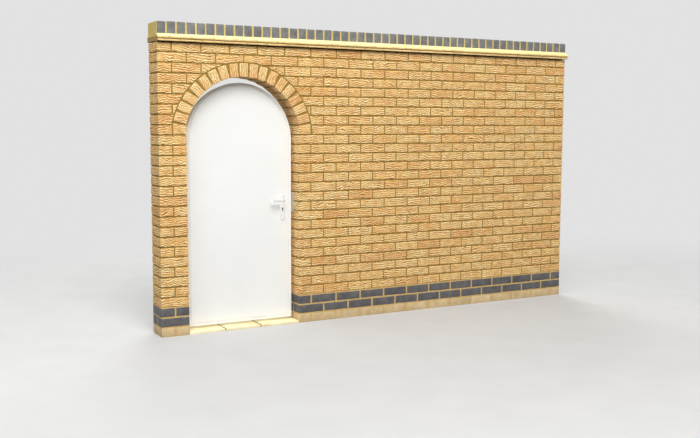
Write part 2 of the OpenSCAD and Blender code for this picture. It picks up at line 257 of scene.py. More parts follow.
# %% Faces between the loops
def skin(count, levels):
    """Faces between loops of so many points on so many levels, with one face at each end."""
    i = np.arange(count)
    j = (i + 1) % count
    lower = (np.arange(levels - 1) * count)[:, None]
    quads = np.stack([lower + i, lower + j, lower + count + j, lower + count + i], axis=2)
    return quads.reshape(-1, 4).tolist() + [i[::-1].tolist(), (i + (levels - 1) * count).tolist()]


print("four points on two levels make", len(skin(4, 2)), "faces")

# %% Build one brick's vertices and faces
EDGE_ROW, FIRST_ROW = 0.0012, 0.0052
GRAIN_SPREAD, CHIP_REACH = 40, 0.012


def chipping(flat, z, height, offset):
    """How far the long edges are chipped: up from the foot and down from the top."""
    along = np.column_stack([flat * 62, np.zeros(len(flat))]) + offset
    near_foot = np.clip(1 - z / CHIP_REACH, 0, 1)
    near_top = np.clip(1 - (height - z) / CHIP_REACH, 0, 1)
    return near_foot * np.maximum(0, noise(along, 12)) - near_top * np.maximum(0, noise(along, 13))


def brick(size, shown, relief, step=0.0115, rows=11, corner=0.003, edge=0.0022, chips=0.0022, seed=0):
    """A brick of the given length, width and height in its own frame. Returns its vertices, its faces, the
    places where its grain is read, and each vertex's phase and furrow strength."""
    length, width, height = size
    ring, facing, visible = loop_round(length, width, shown, step, corner)
    between = np.linspace(FIRST_ROW, height - FIRST_ROW, rows)
    heights = np.concatenate([[0, EDGE_ROW], between, [height - EDGE_ROW, height]])
    drawn_in = np.zeros(len(heights))
    drawn_in[[0, -1]], drawn_in[[1, -2]] = edge, edge * 0.25
    count, levels = len(ring), len(heights)
    flat = np.tile(ring, (levels, 1))
    out = np.tile(facing, (levels, 1))
    seen = np.tile(visible, levels)
    z = np.repeat(heights, count)
    grain = np.column_stack([flat, z]) + np.random.default_rng(seed).random(3) * GRAIN_SPREAD
    depth, phase, strength = relief(grain)
    ragged = np.maximum(0, noise(grain * 55, 11)) * edge * 0.9 * np.repeat(drawn_in > 0, count)
    flat = flat + out * ((depth * seen) - np.repeat(drawn_in, count) - ragged)[:, None]
    z = z + chips * seen * chipping(flat, z, height, grain[0])
    return np.column_stack([flat, z]), skin(count, levels), grain, phase, strength * seen


trial = brick((BRICK_L, BRICK_W, BRICK_H), "f", rustic_relief)
print("a stretcher has", len(trial[0]), "vertices and", len(trial[1]), "faces")

# %% [markdown]
# ## Joining many bricks in one object
#
# This wall has about eight hundred bricks, and an object for each would be slow to draw. They are
# gathered as arrays and turned into one mesh for each stretch of wall. Four attributes go with the
# vertices, and the materials read them: the grain's place, a tone that is the same all over one brick,
# and the phase and strength of the furrows.

# %% Turn a mesh into a piece
def dress(mesh, name, body="wall", nodes=(), smooth=40):
    """Turns a mesh into a piece that rides on a body and stands for the named nodes. Edges sharper than
    the smooth angle, in degrees, stay sharp."""
    mesh.polygons.foreach_set("use_smooth", [True] * len(mesh.polygons))
    mesh.set_sharp_from_angle(angle=math.radians(smooth))
    piece = add_object(name, mesh)
    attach(piece, body)
    if nodes:
        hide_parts(*nodes)
    mesh.calc_loop_triangles()
    print(name, "has", len(mesh.loop_triangles), "triangles")
    return piece


# %% Gather bricks and build them
class Pile:
    """Collects bricks until they are made into one object."""

    def __init__(self):
        self.vertices, self.faces, self.used = [], [], 0
        self.marks = {"grain": [], "tone": [], "phase": [], "strength": []}

    def add(self, made, matrix, tone, shift=None):
        vertices, faces, grain, phase, strength = made
        placed = vertices @ np.array(matrix.to_3x3()).T + np.array(matrix.translation)
        if shift is not None:
            placed = shift(placed)
        self.vertices.append(placed)
        self.faces += [[n + self.used for n in face] for face in faces]
        self.used += len(placed)
        for label, values in (("grain", grain), ("tone", np.full(len(placed), tone)),
                              ("phase", phase), ("strength", strength)):
            self.marks[label].append(values)


def build(pile, name, material, nodes):
    """Makes the object of a pile and hands it to the frame."""
    mesh = bpy.data.meshes.new(name)
    mesh.from_pydata(np.concatenate(pile.vertices).tolist(), [], pile.faces)
    for label, parts in pile.marks.items():
        values = np.concatenate(parts).astype(np.float32)
        kind, field = ("FLOAT_VECTOR", "vector") if values.ndim == 2 else ("FLOAT", "value")
        mesh.attributes.new(label, kind, "POINT").data.foreach_set(field, values.ravel())
    mesh.materials.append(material)
    return dress(mesh, name, "wall", nodes)


print("each vertex of a brick carries:", ", ".join(Pile().marks))

# %% [markdown]
# ## Materials from nodes
#
# Each finish is a Principled shader with noise in front of it. A picture of the clay would do too, but
# nodes have no seams, and they can read what the mesh keeps about each brick. A few short helpers keep
# the node code readable. One starts a material, and one sends values through a node. The others add a
# noise, a ramp of colours, a sum or a blend, and the last one coats the surface.

# %% Start a material and send values through its nodes
def start_material(name, roughness):
    material = bpy.data.materials.new(name)
    material.use_nodes = True
    shader_of(material).inputs["Roughness"].default_value = roughness
    return material


def shader_of(material):
    return material.node_tree.nodes["Principled BSDF"]


def join(owner, source, target):
    """Gives an input a number, a colour, a direction or what comes out of another node."""
    if isinstance(source, (int, float)):
        target.default_value = source
    elif isinstance(source, tuple):
        target.default_value = (*source, 1) if target.type == "RGBA" else source
    else:
        owner.node_tree.links.new(source, target)


def through(owner, kind, inputs, output=0, **settings):
    """Adds a node to a material or to the sky, fills its inputs and returns one of its outputs."""
    node = owner.node_tree.nodes.new(kind)
    for key, value in settings.items():
        setattr(node, key, value)
    for key, value in inputs.items():
        join(owner, value, node.inputs[key])
    return node.outputs[output]


print("helpers for nodes:", start_material.__name__, join.__name__, through.__name__)


# %% Places, noises and ranges
def attribute(owner, name, output="Fac"):
    return through(owner, "ShaderNodeAttribute", {}, output, attribute_name=name)


def object_place(owner):
    return through(owner, "ShaderNodeTexCoord", {}, "Object")


def add_noise(owner, place, scale, detail=3.0, roughness=0.55):
    """A noise. A scale with three numbers stretches it, each number in its own direction."""
    if isinstance(scale, tuple):
        place = through(owner, "ShaderNodeVectorMath", {0: place, 1: scale}, operation="MULTIPLY")
        scale = 1.0
    inputs = {"Vector": place, "Scale": scale, "Detail": detail, "Roughness": roughness}
    return through(owner, "ShaderNodeTexNoise", inputs, "Fac")


def map_range(owner, value, start=(0.0, 1.0), end=(0.0, 1.0), how="LINEAR"):
    """Stretches one range of numbers to another."""
    inputs = dict(zip(("From Min", "From Max", "To Min", "To Max"), (*start, *end)))
    inputs["Value"] = value
    return through(owner, "ShaderNodeMapRange", inputs, "Result", interpolation_type=how)


print("helpers for places and noises:", add_noise.__name__, map_range.__name__)


# %% Sums, colours and the coat
def arithmetic(owner, kind, first, second=0.0):
    """One sum or product of two sockets or numbers."""
    return through(owner, "ShaderNodeMath", {0: first, 1: second}, operation=kind)


def mixture(owner, first, share, second):
    """A share of the first and the rest of the second."""
    return arithmetic(owner, "ADD", arithmetic(owner, "MULTIPLY", first, share),
                      arithmetic(owner, "MULTIPLY", second, 1 - share))


def add_ramp(owner, value, stops):
    """A colour for each value, from stops of a place and a colour."""
    node = owner.node_tree.nodes.new("ShaderNodeValToRGB")
    ramp = node.color_ramp
    while len(ramp.elements) < len(stops):
        ramp.elements.new(0.5)
    for element, (place, colour) in zip(ramp.elements, stops):
        element.position = place
        element.color = (*colour, 1)
    join(owner, value, node.inputs["Fac"])
    return node.outputs["Color"]


def blend_colours(owner, share, first, second, how="MIX"):
    inputs = {0: share, 6: first, 7: second}
    return through(owner, "ShaderNodeMix", inputs, 2, data_type="RGBA", blend_type=how)


def coat(material, colour, height, bump):
    """Gives a material's surface its colour, and a bump of so many metres from a height."""
    surface = shader_of(material).inputs
    join(material, colour, surface["Base Color"])
    join(material, through(material, "ShaderNodeBump", {"Distance": bump, "Height": height}, "Normal"),
         surface["Normal"])


print("helpers for colours:", mixture.__name__, add_ramp.__name__, blend_colours.__name__, coat.__name__)

# %% [markdown]
# ## Golden rustic brick
#
# The clay is a golden buff, and every brick has a slightly different tone. Here and there a patch came out
# of the kiln redder. The bricks of the arch are a little paler than the wall's. The colour follows the
# furrows of the mesh: the phase that each vertex keeps is turned back into a furrow in the material, where
# it can be far finer than the mesh, and sand is laid over it. The narrow furrows are coloured burnt orange
# and the broad ridges cream. This is partly the clay's own colour and partly painted light: painted shade
# in the furrows and a painted highlight on the ridges.

# %% The golden brick material
WANDER, GRIT = 1.05, 0.80
NEUTRAL = (1.0, 1.0, 1.0)


def brick_material(name, stops, tones):
    """Clay that is coloured by its furrows, by a tone for each brick and by redder patches. The furrows are
    darker and the ridges lighter, partly the clay's own colour and partly painted shade and painted
    highlight. Tones and patches multiply the clay's colour, and a neutral one leaves it as it is."""
    material = start_material(name, 0.9)
    grain = attribute(material, "grain", "Vector")
    crumbs = add_noise(material, grain, (85, 85, 150), 3.0, 0.6)
    sand = add_noise(material, grain, 430.0, 2.0)
    wander = arithmetic(material, "MULTIPLY", arithmetic(material, "SUBTRACT", crumbs, 0.5), WANDER)
    place = arithmetic(material, "ADD", attribute(material, "phase"), wander)
    wave = arithmetic(material, "SINE", arithmetic(material, "MULTIPLY", place, math.pi))
    swing = arithmetic(material, "SUBTRACT", arithmetic(material, "ABSOLUTE", wave), PLAIN_LEVEL)
    swing = arithmetic(material, "MULTIPLY", swing, attribute(material, "strength"))
    ridge = arithmetic(material, "ADD", swing, PLAIN_LEVEL - GRIT / 2)
    grit = arithmetic(material, "MULTIPLY", mixture(material, crumbs, 0.65, sand), GRIT)
    height = arithmetic(material, "ADD", ridge, grit)
    tint = add_ramp(material, attribute(material, "tone"), tones)
    # The ramp over the furrows darkens them and lightens the ridges: partly clay colour, partly painted
    # shade in the furrows and a painted highlight on the ridges.
    toned = blend_colours(material, 1.0, add_ramp(material, height, stops), tint, "MULTIPLY")
    patches = add_noise(material, grain, (17, 17, 32), 2.0, 0.5)
    flush = add_ramp(material, patches, [(0.38, (0.90, 0.77, 0.66)), (0.58, NEUTRAL)])
    coat(material, blend_colours(material, 1.0, toned, flush, "MULTIPLY"), height, 0.0022)
    return material


print("crumbs push a furrow aside by up to", WANDER / 2, "of its pitch")

# %% The wall's clay and the arch's
ARCH_GREEN, ARCH_BLUE = 1.04, 1.18
# Stops from furrow to ridge: the dark ones are partly painted shade in the furrows, the light ones partly a
# painted highlight on the ridges.
GOLDEN_CLAY_WITH_PAINTED_LIGHT = [
    (0.12, (0.33, 0.132, 0.028)), (0.38, (0.57, 0.295, 0.085)),
    (0.64, (0.88, 0.585, 0.222)), (0.92, (1.0, 0.83, 0.455))]
GOLDEN_TONES = [
    (0.0, (0.885, 0.745, 0.66)), (0.3, (0.965, 0.895, 0.84)), (0.65, NEUTRAL), (1.0, (0.98, 1.0, 1.0))]
PALER_CLAY_WITH_PAINTED_LIGHT = [
    (place, (red, min(green * ARCH_GREEN, 1.0), blue * ARCH_BLUE))
    for place, (red, green, blue) in GOLDEN_CLAY_WITH_PAINTED_LIGHT]

golden = brick_material("golden_rustic_brick", GOLDEN_CLAY_WITH_PAINTED_LIGHT, GOLDEN_TONES)
golden_arch = brick_material("golden_arch_brick", PALER_CLAY_WITH_PAINTED_LIGHT, GOLDEN_TONES)
print("made", golden.name, "and the paler", golden_arch.name)

# %% [markdown]
# ## Dark brick, smooth buff brick and clay tile
#
# The plinth is a dense brick fired to a blue-grey, and the coping is the same brick weathered to a
# lighter and plainer grey. The lowest course is a smooth buff brick, and the two thin courses under the
# coping are buff tiles. None of them has furrows, so one function makes all four from clouds and sand,
# and only their colours and roughness differ.

# %% The other fired clays
CLOUD_SHARE = 0.8
BRICK_SHADES = [(0.0, (0.80, 0.80, 0.80)), (1.0, NEUTRAL)]


def plain_clay(name, dark, middle, light, roughness):
    material = start_material(name, roughness)
    grain = attribute(material, "grain", "Vector")
    clouds = add_noise(material, grain, 16.0, 4.0, 0.6)
    level = mixture(material, clouds, CLOUD_SHARE, add_noise(material, grain, 480.0, 2.0))
    colour = add_ramp(material, level, [(0.32, dark), (0.5, middle), (0.68, light)])
    shade = add_ramp(material, attribute(material, "tone"), BRICK_SHADES)
    coat(material, blend_colours(material, 1.0, colour, shade, "MULTIPLY"), level, 0.0006)
    return material


blue_brick = plain_clay(
    "blue_grey_brick", (0.075, 0.073, 0.077), (0.112, 0.108, 0.111), (0.160, 0.155, 0.156), 0.62)
worn_brick = plain_clay(
    "worn_coping_brick", (0.125, 0.127, 0.128), (0.185, 0.186, 0.184), (0.25, 0.25, 0.24), 0.72)
smooth_buff = plain_clay(
    "smooth_buff_brick", (0.60, 0.43, 0.22), (0.72, 0.525, 0.28), (0.82, 0.63, 0.375), 0.85)
buff_tile = plain_clay(
    "buff_tile", (0.66, 0.45, 0.18), (0.82, 0.585, 0.25), (0.93, 0.71, 0.345), 0.85)
print("made", blue_brick.name, worn_brick.name, smooth_buff.name, buff_tile.name)

# %% Painted shade on the undersides of the tiles
# Faces that point down are darkened: painted shade under the overhang of the tiles.
true_normal = through(buff_tile, "ShaderNodeNewGeometry", {}, "True Normal")
upward = through(buff_tile, "ShaderNodeSeparateXYZ", {0: true_normal}, "Z")
painted_underside_shade = add_ramp(buff_tile, arithmetic(buff_tile, "MULTIPLY", upward, -1.0), [
    (0.8, NEUTRAL), (0.98, (0.34, 0.28, 0.22))])
tile_colour = shader_of(buff_tile).inputs["Base Color"]
unshaded_tile_colour = tile_colour.links[0].from_socket
join(buff_tile, blend_colours(buff_tile, 1.0, unshaded_tile_colour, painted_underside_shade, "MULTIPLY"), tile_colour)
print("darkened", buff_tile.name, "underneath")

# %% [markdown]
# ## Mortars
#
# Mortar is sand and cement, so it has no grain direction. The wall's is a brown ochre, the coping's joints
# were done with a yellow one and the plinth's with a tan one, the tiles lie in a warm tan, and the fillet
# on them has weathered to cream. The joints between the threshold slabs are dark with soil. The bed under
# the tiles gets the same near-black mortar as painted shade, for the shadow under the tiles' overhang. They
# could share one material with a colour attribute, but six short materials are easier to find and to
# change.

# %% The mortars
def mortar_material(name, dark, light, bump=0.0012):
    material = start_material(name, 0.95)
    place = object_place(material)
    lumps = add_noise(material, place, 38.0, 4.0, 0.6)
    level = mixture(material, lumps, 0.65, add_noise(material, place, 520.0, 2.0))
    coat(material, add_ramp(material, level, [(0.35, dark), (0.65, light)]), level, bump)
    return material


ochre_mortar = mortar_material("ochre_mortar", (0.25, 0.150, 0.024), (0.37, 0.235, 0.047))
yellow_mortar = mortar_material("yellow_mortar", (0.58, 0.42, 0.13), (0.80, 0.60, 0.20))
bed_mortar = mortar_material("tile_bed_mortar", (0.32, 0.205, 0.065), (0.46, 0.31, 0.11))
cream_mortar = mortar_material("cream_mortar", (0.88, 0.76, 0.32), (0.97, 0.89, 0.44), 0.0008)
plinth_tan = mortar_material("plinth_mortar", (0.52, 0.345, 0.12), (0.70, 0.48, 0.19))
# Dark soil in the slab joints, and painted shade where it fills the bed under the tiles.
soil_and_shade_mortar = mortar_material("soil_and_shade_mortar", (0.075, 0.050, 0.025), (0.125, 0.085, 0.045))
print("made six mortars, from", soil_and_shade_mortar.name, "to", cream_mortar.name)

# %% [markdown]
# ## Laying the courses
#
# Odd courses begin and end with a brick laid across the wall, and even courses with two bricks side by
# side, so the upright joints never line up. Bricks that meet the arch were cut to it by the bricklayer.
# A boolean would cut them too, but it is slow and leaves ragged triangles. Here each row of points of
# such a brick is squeezed along, or up, until it ends on the circle round the ring.

# %% Which bricks meet the arch
CUT_RADIUS = ring_out + JOINT
INSIDE_SLACK, OUTSIDE_SLACK = 0.004, 0.006


def side_of_door(x0, x1):
    return 1 if (x0 + x1) / 2 > door_x else -1


def beside_arch(x0, x1, z0, z1):
    """What is left of a brick's face outside the ring: its new bounds and how it is squeezed, or None."""
    side = side_of_door(x0, x1)
    u0, u1 = sorted(((x0 - door_x) * side, (x1 - door_x) * side))
    low, high = z0 - ring_z, z1 - ring_z
    if low < 0 or math.hypot(max(u0, 0), low) >= CUT_RADIUS:
        return x0, x1, z0, z1, None
    if math.hypot(u1, high) <= CUT_RADIUS + INSIDE_SLACK:
        return None
    if math.hypot(max(u0, 0), high) > CUT_RADIUS + OUTSIDE_SLACK:
        return x0, x1, z0, z1, "up"
    u_top = math.sqrt(CUT_RADIUS ** 2 - high ** 2)
    if math.hypot(u1, low) < CUT_RADIUS:
        z0 = ring_z + math.sqrt(max(CUT_RADIUS ** 2 - (u1 - INSIDE_SLACK) ** 2, 0))
    near, far = door_x + side * max(u0, u_top), door_x + side * u1
    return min(near, far), max(near, far), z0, z1, "along"


print("a brick over the crown:", beside_arch(door_x - 0.1, door_x + 0.1, ring_z + 0.56, ring_z + 0.625))


# %% Squeeze a brick off the arch
def squeeze(x0, x1, z0, z1, how):
    """Moves an array of points so that the brick ends on the ring's circle."""
    side = side_of_door(x0, x1)
    near, far = (x0, x1) if side > 0 else (x1, x0)

    def move(points):
        moved = points.copy()
        if how == "along":
            edge = np.sqrt(np.maximum(CUT_RADIUS ** 2 - (points[:, 2] - ring_z) ** 2, 0))
            limit = np.maximum(edge, (near - door_x) * side) * side + door_x
            share = (points[:, 0] - near) / (far - near)
            moved[:, 0] = limit + share * (far - limit)
        else:
            rise = np.sqrt(np.maximum(CUT_RADIUS ** 2 - (points[:, 0] - door_x) ** 2, 0)) + ring_z
            limit = np.maximum(rise, z0)
            share = (points[:, 2] - z0) / (z1 - z0)
            moved[:, 2] = limit + share * (z1 - limit)
        return moved
    return move


SPRINGER_RISE = 0.014


def springer(x0, z0):
    """Raises the top of the brick under each foot of the ring, more the farther it is from the opening."""
    inner = jamb_left if x0 < door_x else jamb_right

    def move(points):
        moved = points.copy()
        away = np.clip(np.abs(points[:, 0] - inner) / BRICK_W, 0, 1)
        moved[:, 2] += SPRINGER_RISE * away * (points[:, 2] - z0) / BRICK_H
        return moved
    return move


print("bricks end on a circle of radius", round(CUT_RADIUS, 4))


# %% Place bricks by their outlines
def frame_at(origin, along, across):
    """A turned and moved frame whose first two axes are given."""
    a, b = Vector(along), Vector(across)
    c = a.cross(b)
    return Matrix([(a[n], b[n], c[n], origin[n]) for n in range(3)] + [(0, 0, 0, 1)])


luck = np.random.default_rng(2024)
KINDS = {"rustic": dict(relief=rustic_relief),
         "smooth": dict(relief=smooth_relief, step=0.03, rows=3, edge=0.0016, chips=0.0006)}
SHORTEST_CUT, LOWEST_CUT, PROUD = 0.006, 0.012, 0.0006


def tone_of_brick():
    return float(luck.beta(2.2, 1.6))


def lay_stretchers(pile, far_pile, x0, x1, z0, kind, ends=""):
    """A front and a back brick of one course, each in its own pile. ends names the ends that show."""
    found = beside_arch(x0, x1, z0, z0 + BRICK_H)
    if found is None or found[1] - found[0] < SHORTEST_CUT or found[3] - found[2] < LOWEST_CUT:
        return
    a0, a1, b0, b1, how = found
    shift = squeeze(*found) if how else None
    for near, left, right in ((True, "l", "r"), (False, "r", "l")):
        shown = "f" + (left if "left" in ends else "") + (right if "right" in ends else "")
        made = brick((a1 - a0, BRICK_W, b1 - b0), shown, seed=int(luck.integers(1 << 30)), **KINDS[kind])
        proud = float(luck.uniform(0, PROUD))
        if near:
            place = frame_at((a0, front_y + proud, b0), (1, 0, 0), (0, 1, 0))
        else:
            place = frame_at((a1, back_y - proud, b0), (-1, 0, 0), (0, -1, 0))
        (pile if near else far_pile).add(made, place, tone_of_brick(), shift)


def lay_across(pile, x0, z0, kind, shown):
    """A brick laid across the wall. In shown, f is its side toward +X, b the other, l and r its ends."""
    made = brick((BRICK_L, BRICK_W, BRICK_H), shown, seed=int(luck.integers(1 << 30)), **KINDS[kind])
    beside = min(abs(x0 + BRICK_W - jamb_left), abs(x0 - jamb_right)) < 0.001
    shift = springer(x0, z0) if beside and abs(z0 + COURSE - spring_z) < JOINT else None
    pile.add(made, frame_at((x0 + BRICK_W, front_y, z0), (0, 1, 0), (-1, 0, 0)), tone_of_brick(), shift)


print("kinds of brick:", ", ".join(KINDS))

# %% Share the courses out among the pieces
PLINTH_COURSES, LOW_COURSES = 3, 16
STRETCHES = {
    "base_bricks_left": (smooth_buff, "base_course_left", "brick_smooth"),
    "base_bricks_right": (smooth_buff, "base_course_right", "brick_smooth"),
    "plinth_bricks_left": (blue_brick, "plinth_left", "brick_blue"),
    "plinth_bricks_right": (blue_brick, "plinth_right", "brick_blue"),
    "pier_bricks": (golden, "left_pier", "brick_buff"),
    "jamb_bricks": (golden, "right_pier", "brick_buff"),
    "spandrel_bricks": (golden, "wall_over_doorway", "brick_buff"),
    "wall_bricks_low": (golden, "long_wall", "brick_buff"),
    "wall_bricks_high": (golden, "long_wall", "brick_buff"),
    "wall_bricks_low_far": (golden, "long_wall", "brick_buff"),
    "wall_bricks_high_far": (golden, "long_wall", "brick_buff")}
piles = {name: Pile() for name in STRETCHES}


def under_arch(course):
    return (course - 1) * COURSE < spring_z - 2 * JOINT


def pile_for(course, middle, far=""):
    """The stretch of wall that a brick belongs to, by its course, the middle of its length and, on the
    long run, its side of the wall."""
    side = "left" if middle < door_x else "right"
    if course == 1:
        return piles["base_bricks_" + side], "smooth"
    if course <= PLINTH_COURSES:
        return piles["plinth_bricks_" + side], "smooth"
    if middle >= wall_low.x:
        return piles[("wall_bricks_low" if course <= LOW_COURSES else "wall_bricks_high") + far], "rustic"
    if under_arch(course):
        return piles["pier_bricks" if side == "left" else "jamb_bricks"], "rustic"
    return piles["spandrel_bricks"], "rustic"


print("stretches of brickwork:", len(STRETCHES))


# %% Lay every course of the wall
def lay_run(course, start, end):
    """One course between two free ends."""
    z0 = (course - 1) * COURSE
    inset = BRICK_W + JOINT if course % 2 == 1 else 0
    if inset:
        for x0, shown in ((start, "lrb"), (end - BRICK_W, "lrf")):
            pile, kind = pile_for(course, x0 + BRICK_W / 2)
            lay_across(pile, x0, z0, kind, shown)
    x, last = start + inset, end - inset
    while x < last - 2 * JOINT:
        x1 = min(x + BRICK_L, last)
        ends = ("left" if x == start else "") + ("right" if abs(x1 - end) < 1e-6 else "")
        pile, kind = pile_for(course, (x + x1) / 2)
        far_pile = pile_for(course, (x + x1) / 2, "_far")[0]
        lay_stretchers(pile, far_pile, x, x1, z0, kind, ends)
        x += BRICK_L + JOINT


for course in range(1, course_count + 1):
    if under_arch(course):
        lay_run(course, left_x, jamb_left)
        lay_run(course, jamb_right, right_x)
    else:
        lay_run(course, left_x, right_x)
print("bricks laid:", sum(len(pile.vertices) for pile in piles.values()))

# %% Turn the courses into pieces
for name, (clay, node_name, slot) in STRETCHES.items():
    build(piles[name], name, clay, [node_name])

# %% [markdown]
# ## The arch ring
#
# The ring is 17 whole bricks stood on edge, each pointing at the circle's middle. The bricks aren't
# tapered, so the joints between them are wedges, thin at the opening and wide outside. Set by hand on a
# former, they came out a few degrees off true, some leaning one way and some the other. Copies turned
# round the middle would all point true, so a loop stands them up one by one, each with its own lean in
# degrees.

# %% Stand the ring bricks round the circle
LEANS = (-4, -4, -5, -1, -2, 3, 5, 3, 0, -3, 0, -1, 0, 3, 6, 3, 2)
SPLAY = 0.0035


def splayed(inner_end, outward, sideways):
    """Widens a ring brick a little toward its outer end."""
    origin, out, side = (np.array(v) for v in (inner_end, outward, sideways))

    def move(points):
        offset = points - origin
        share = np.clip(offset @ out / BRICK_W, 0, 1)
        across = (offset @ side) / (BRICK_H / 2)
        return points + side * (across * share * SPLAY / 2)[:, None]
    return move


ring = Pile()
for n, lean in enumerate(LEANS):
    angle = ring_start + (n + 0.5) * ring_step
    inner_end = Vector((door_x + ring_in * math.cos(angle), 0, ring_z + ring_in * math.sin(angle)))
    turned = angle + math.radians(lean)
    outward = Vector((math.cos(turned), 0, math.sin(turned)))
    sideways = Vector((-math.sin(turned), 0, math.cos(turned)))
    corner = Vector((inner_end.x, front_y, inner_end.z)) + sideways * BRICK_H / 2
    made = brick((BRICK_L, BRICK_W, BRICK_H), "lrf", soft_relief, step=0.0105, seed=500 + n)
    place = frame_at(corner, (0, 1, 0), outward)
    ring.add(made, place, tone_of_brick(), splayed(inner_end, outward, sideways))
build(ring, "arch_ring_bricks", golden_arch, ["arch_bricks"])

# %% [markdown]
# ## Mortar behind the bricks
#
# The joints are raked back a few millimetres. A strip of mortar for each joint would be hundreds of
# strips. The simplest way to make every joint at once is one solid a little inside the wall's faces: it
# shows only between the bricks. It is cut out over the door like the wall itself.

# %% Extrude outlines through the wall
def join_loops(work, first, second):
    """Faces between two loops with the same number of points."""
    following = [*range(1, len(first)), 0]
    return [work.faces.new((first[n], first[k], second[k], second[n])) for n, k in enumerate(following)]


def finish_mesh(work, name, *materials):
    """Turns the mesh in hand into a finished one, with every face outward and its materials in order."""
    bmesh.ops.recalc_face_normals(work, faces=work.faces)
    mesh = bpy.data.meshes.new(name)
    work.to_mesh(mesh)
    work.free()
    for material in materials:
        mesh.materials.append(material)
    return mesh


def solids(name, outlines, material, nodes):
    """One piece from several outlines drawn in X and Z, each with its own two depths."""
    work = bmesh.new()
    for outline, y0, y1 in outlines:
        front = [work.verts.new((x, y0, z)) for x, z in outline]
        back = [work.verts.new((x, y1, z)) for x, z in outline]
        work.faces.new(front)
        work.faces.new(back[::-1])
        join_loops(work, back, front)
    work.normal_update()
    bmesh.ops.triangulate(work, faces=[f for f in work.faces if len(f.verts) > 4])
    return dress(finish_mesh(work, name, material), name, "wall", nodes)


def box_outline(x0, x1, z0, z1):
    return [(x0, z0), (x1, z0), (x1, z1), (x0, z1)]


def arc(radius, first, last, steps=48):
    """Points on a circle round the ring's middle."""
    return [(door_x + radius * math.cos(t), ring_z + radius * math.sin(t))
            for t in np.linspace(first, last, steps)]


print("points on the cut over the ring:", len(arc(CUT_RADIUS, 0, math.pi)))

# %% The mortar of the golden brickwork
RAKE, RING_RAKE, PLINTH_RAKE = 0.006, 0.0045, 0.0015
OVERLAP, TOP_GAP = 0.004, 0.002

over_ring = arc(CUT_RADIUS, math.pi - ring_start, ring_start)
spring_left, spring_right = ((door_x + side * ring_in * math.cos(ring_start), spring_z) for side in (-1, 1))
x_left, x_right, y_front, y_back = left_x + RAKE, right_x - RAKE, front_y + RAKE, back_y - RAKE
z_foot, z_top = plinth_top + OVERLAP, wall_top - TOP_GAP
over_door = [(x_left, spring_z), spring_left, *over_ring, spring_right, (x_right, spring_z)]
solids("wall_mortar", [
    (box_outline(x_left, jamb_left - RAKE, z_foot, spring_z), y_front, y_back),
    (box_outline(jamb_right + RAKE, x_right, z_foot, spring_z), y_front, y_back),
    (over_door + [(x_right, z_top), (x_left, z_top)], y_front, y_back)],
    ochre_mortar, ["left_pier", "right_pier", "wall_over_doorway", "long_wall"])

# %% The mortar of the ring and of the plinth
band = over_ring + arc(ring_in + RING_RAKE, ring_start, math.pi - ring_start)
solids("ring_mortar", [(band, front_y + RING_RAKE, back_y - RING_RAKE)],
       ochre_mortar, ["arch_mortar"])
solids("plinth_joints", [
    (box_outline(x0 + PLINTH_RAKE, x1 - PLINTH_RAKE, 0.0, z_foot),
     front_y + PLINTH_RAKE, back_y - PLINTH_RAKE)
    for x0, x1 in ((left_x, jamb_left), (jamb_right, right_x))],
    plinth_tan, ["base_course_left", "base_course_right", "plinth_left", "plinth_right"])

# %% [markdown]
# ## Creasing tiles
#
# Two courses of tile lie across the wall under the coping, as long as the wall is thick plus an overhang
# on each side, so rain drips clear. They are laid edge to edge, with the joints of one course over the
# middles of the next. Each is a flat brick to the function above, with fewer points and smaller corners.

# %% Lay the two tile courses
TILE_WIDTH, TILE_JOINT, NARROWEST_TILE = 0.165, 0.006, 0.02
tiles = Pile()
for level, node_name in enumerate(("creasing_lower", "creasing_upper")):
    low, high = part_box(node_name)
    x = low.x - (TILE_WIDTH / 2 if level else 0.0)
    while x < high.x - 0.01:
        x0, x1 = max(x, low.x), min(x + TILE_WIDTH, high.x)
        x += TILE_WIDTH + TILE_JOINT
        if x1 - x0 < NARROWEST_TILE:
            continue
        shown = "lr" + ("f" if x1 > high.x - 0.001 else "") + ("b" if x0 < low.x + 0.001 else "")
        made = brick((high.y - low.y, x1 - x0, high.z - low.z), shown, tile_relief,
                     step=0.02, rows=2, corner=0.002, edge=0.0014, seed=900 + len(tiles.vertices))
        tiles.add(made, frame_at((x1, low.y, low.z), (0, 1, 0), (-1, 0, 0)), tone_of_brick())
build(tiles, "creasing_tiles", buff_tile, ["creasing_lower", "creasing_upper"])

# %% The mortar between the tiles
UNDER_RAKE, TILE_RAKE, BED_GAP = 0.020, 0.007, 0.001
low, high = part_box("creasing_lower")
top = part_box("creasing_upper")[1].z
bed_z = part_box("creasing_mortar")[0].z
# The bed under the lower tiles takes the near-black mortar as painted shade, for the shadow under their
# overhang.
solids("tile_underbed", [
    (box_outline(left_x + UNDER_RAKE, right_x - UNDER_RAKE, bed_z, low.z),
     front_y + UNDER_RAKE, back_y - UNDER_RAKE)],
    soil_and_shade_mortar, ["creasing_mortar"])
solids("creasing_beds", [
    (box_outline(left_x, high.x - TILE_RAKE, low.z + BED_GAP, top - BED_GAP),
     low.y + TILE_RAKE, high.y - TILE_RAKE)],
    bed_mortar, ["creasing_mortar"])

# %% [markdown]
# ## The mortar fillet
#
# A sloped band of mortar throws the rain off the tiles. It was drawn along with a trowel, so its slope
# wanders by a millimetre, and over the first metre from the pier end its top lies a little lower. It is a
# section swept along both sides and round the free end, with a point every few centimetres. A curve with
# a bevel could carry the section too, but points of its own let it wander and sink. At the free end it is
# narrower, because the tiles stand out less there.

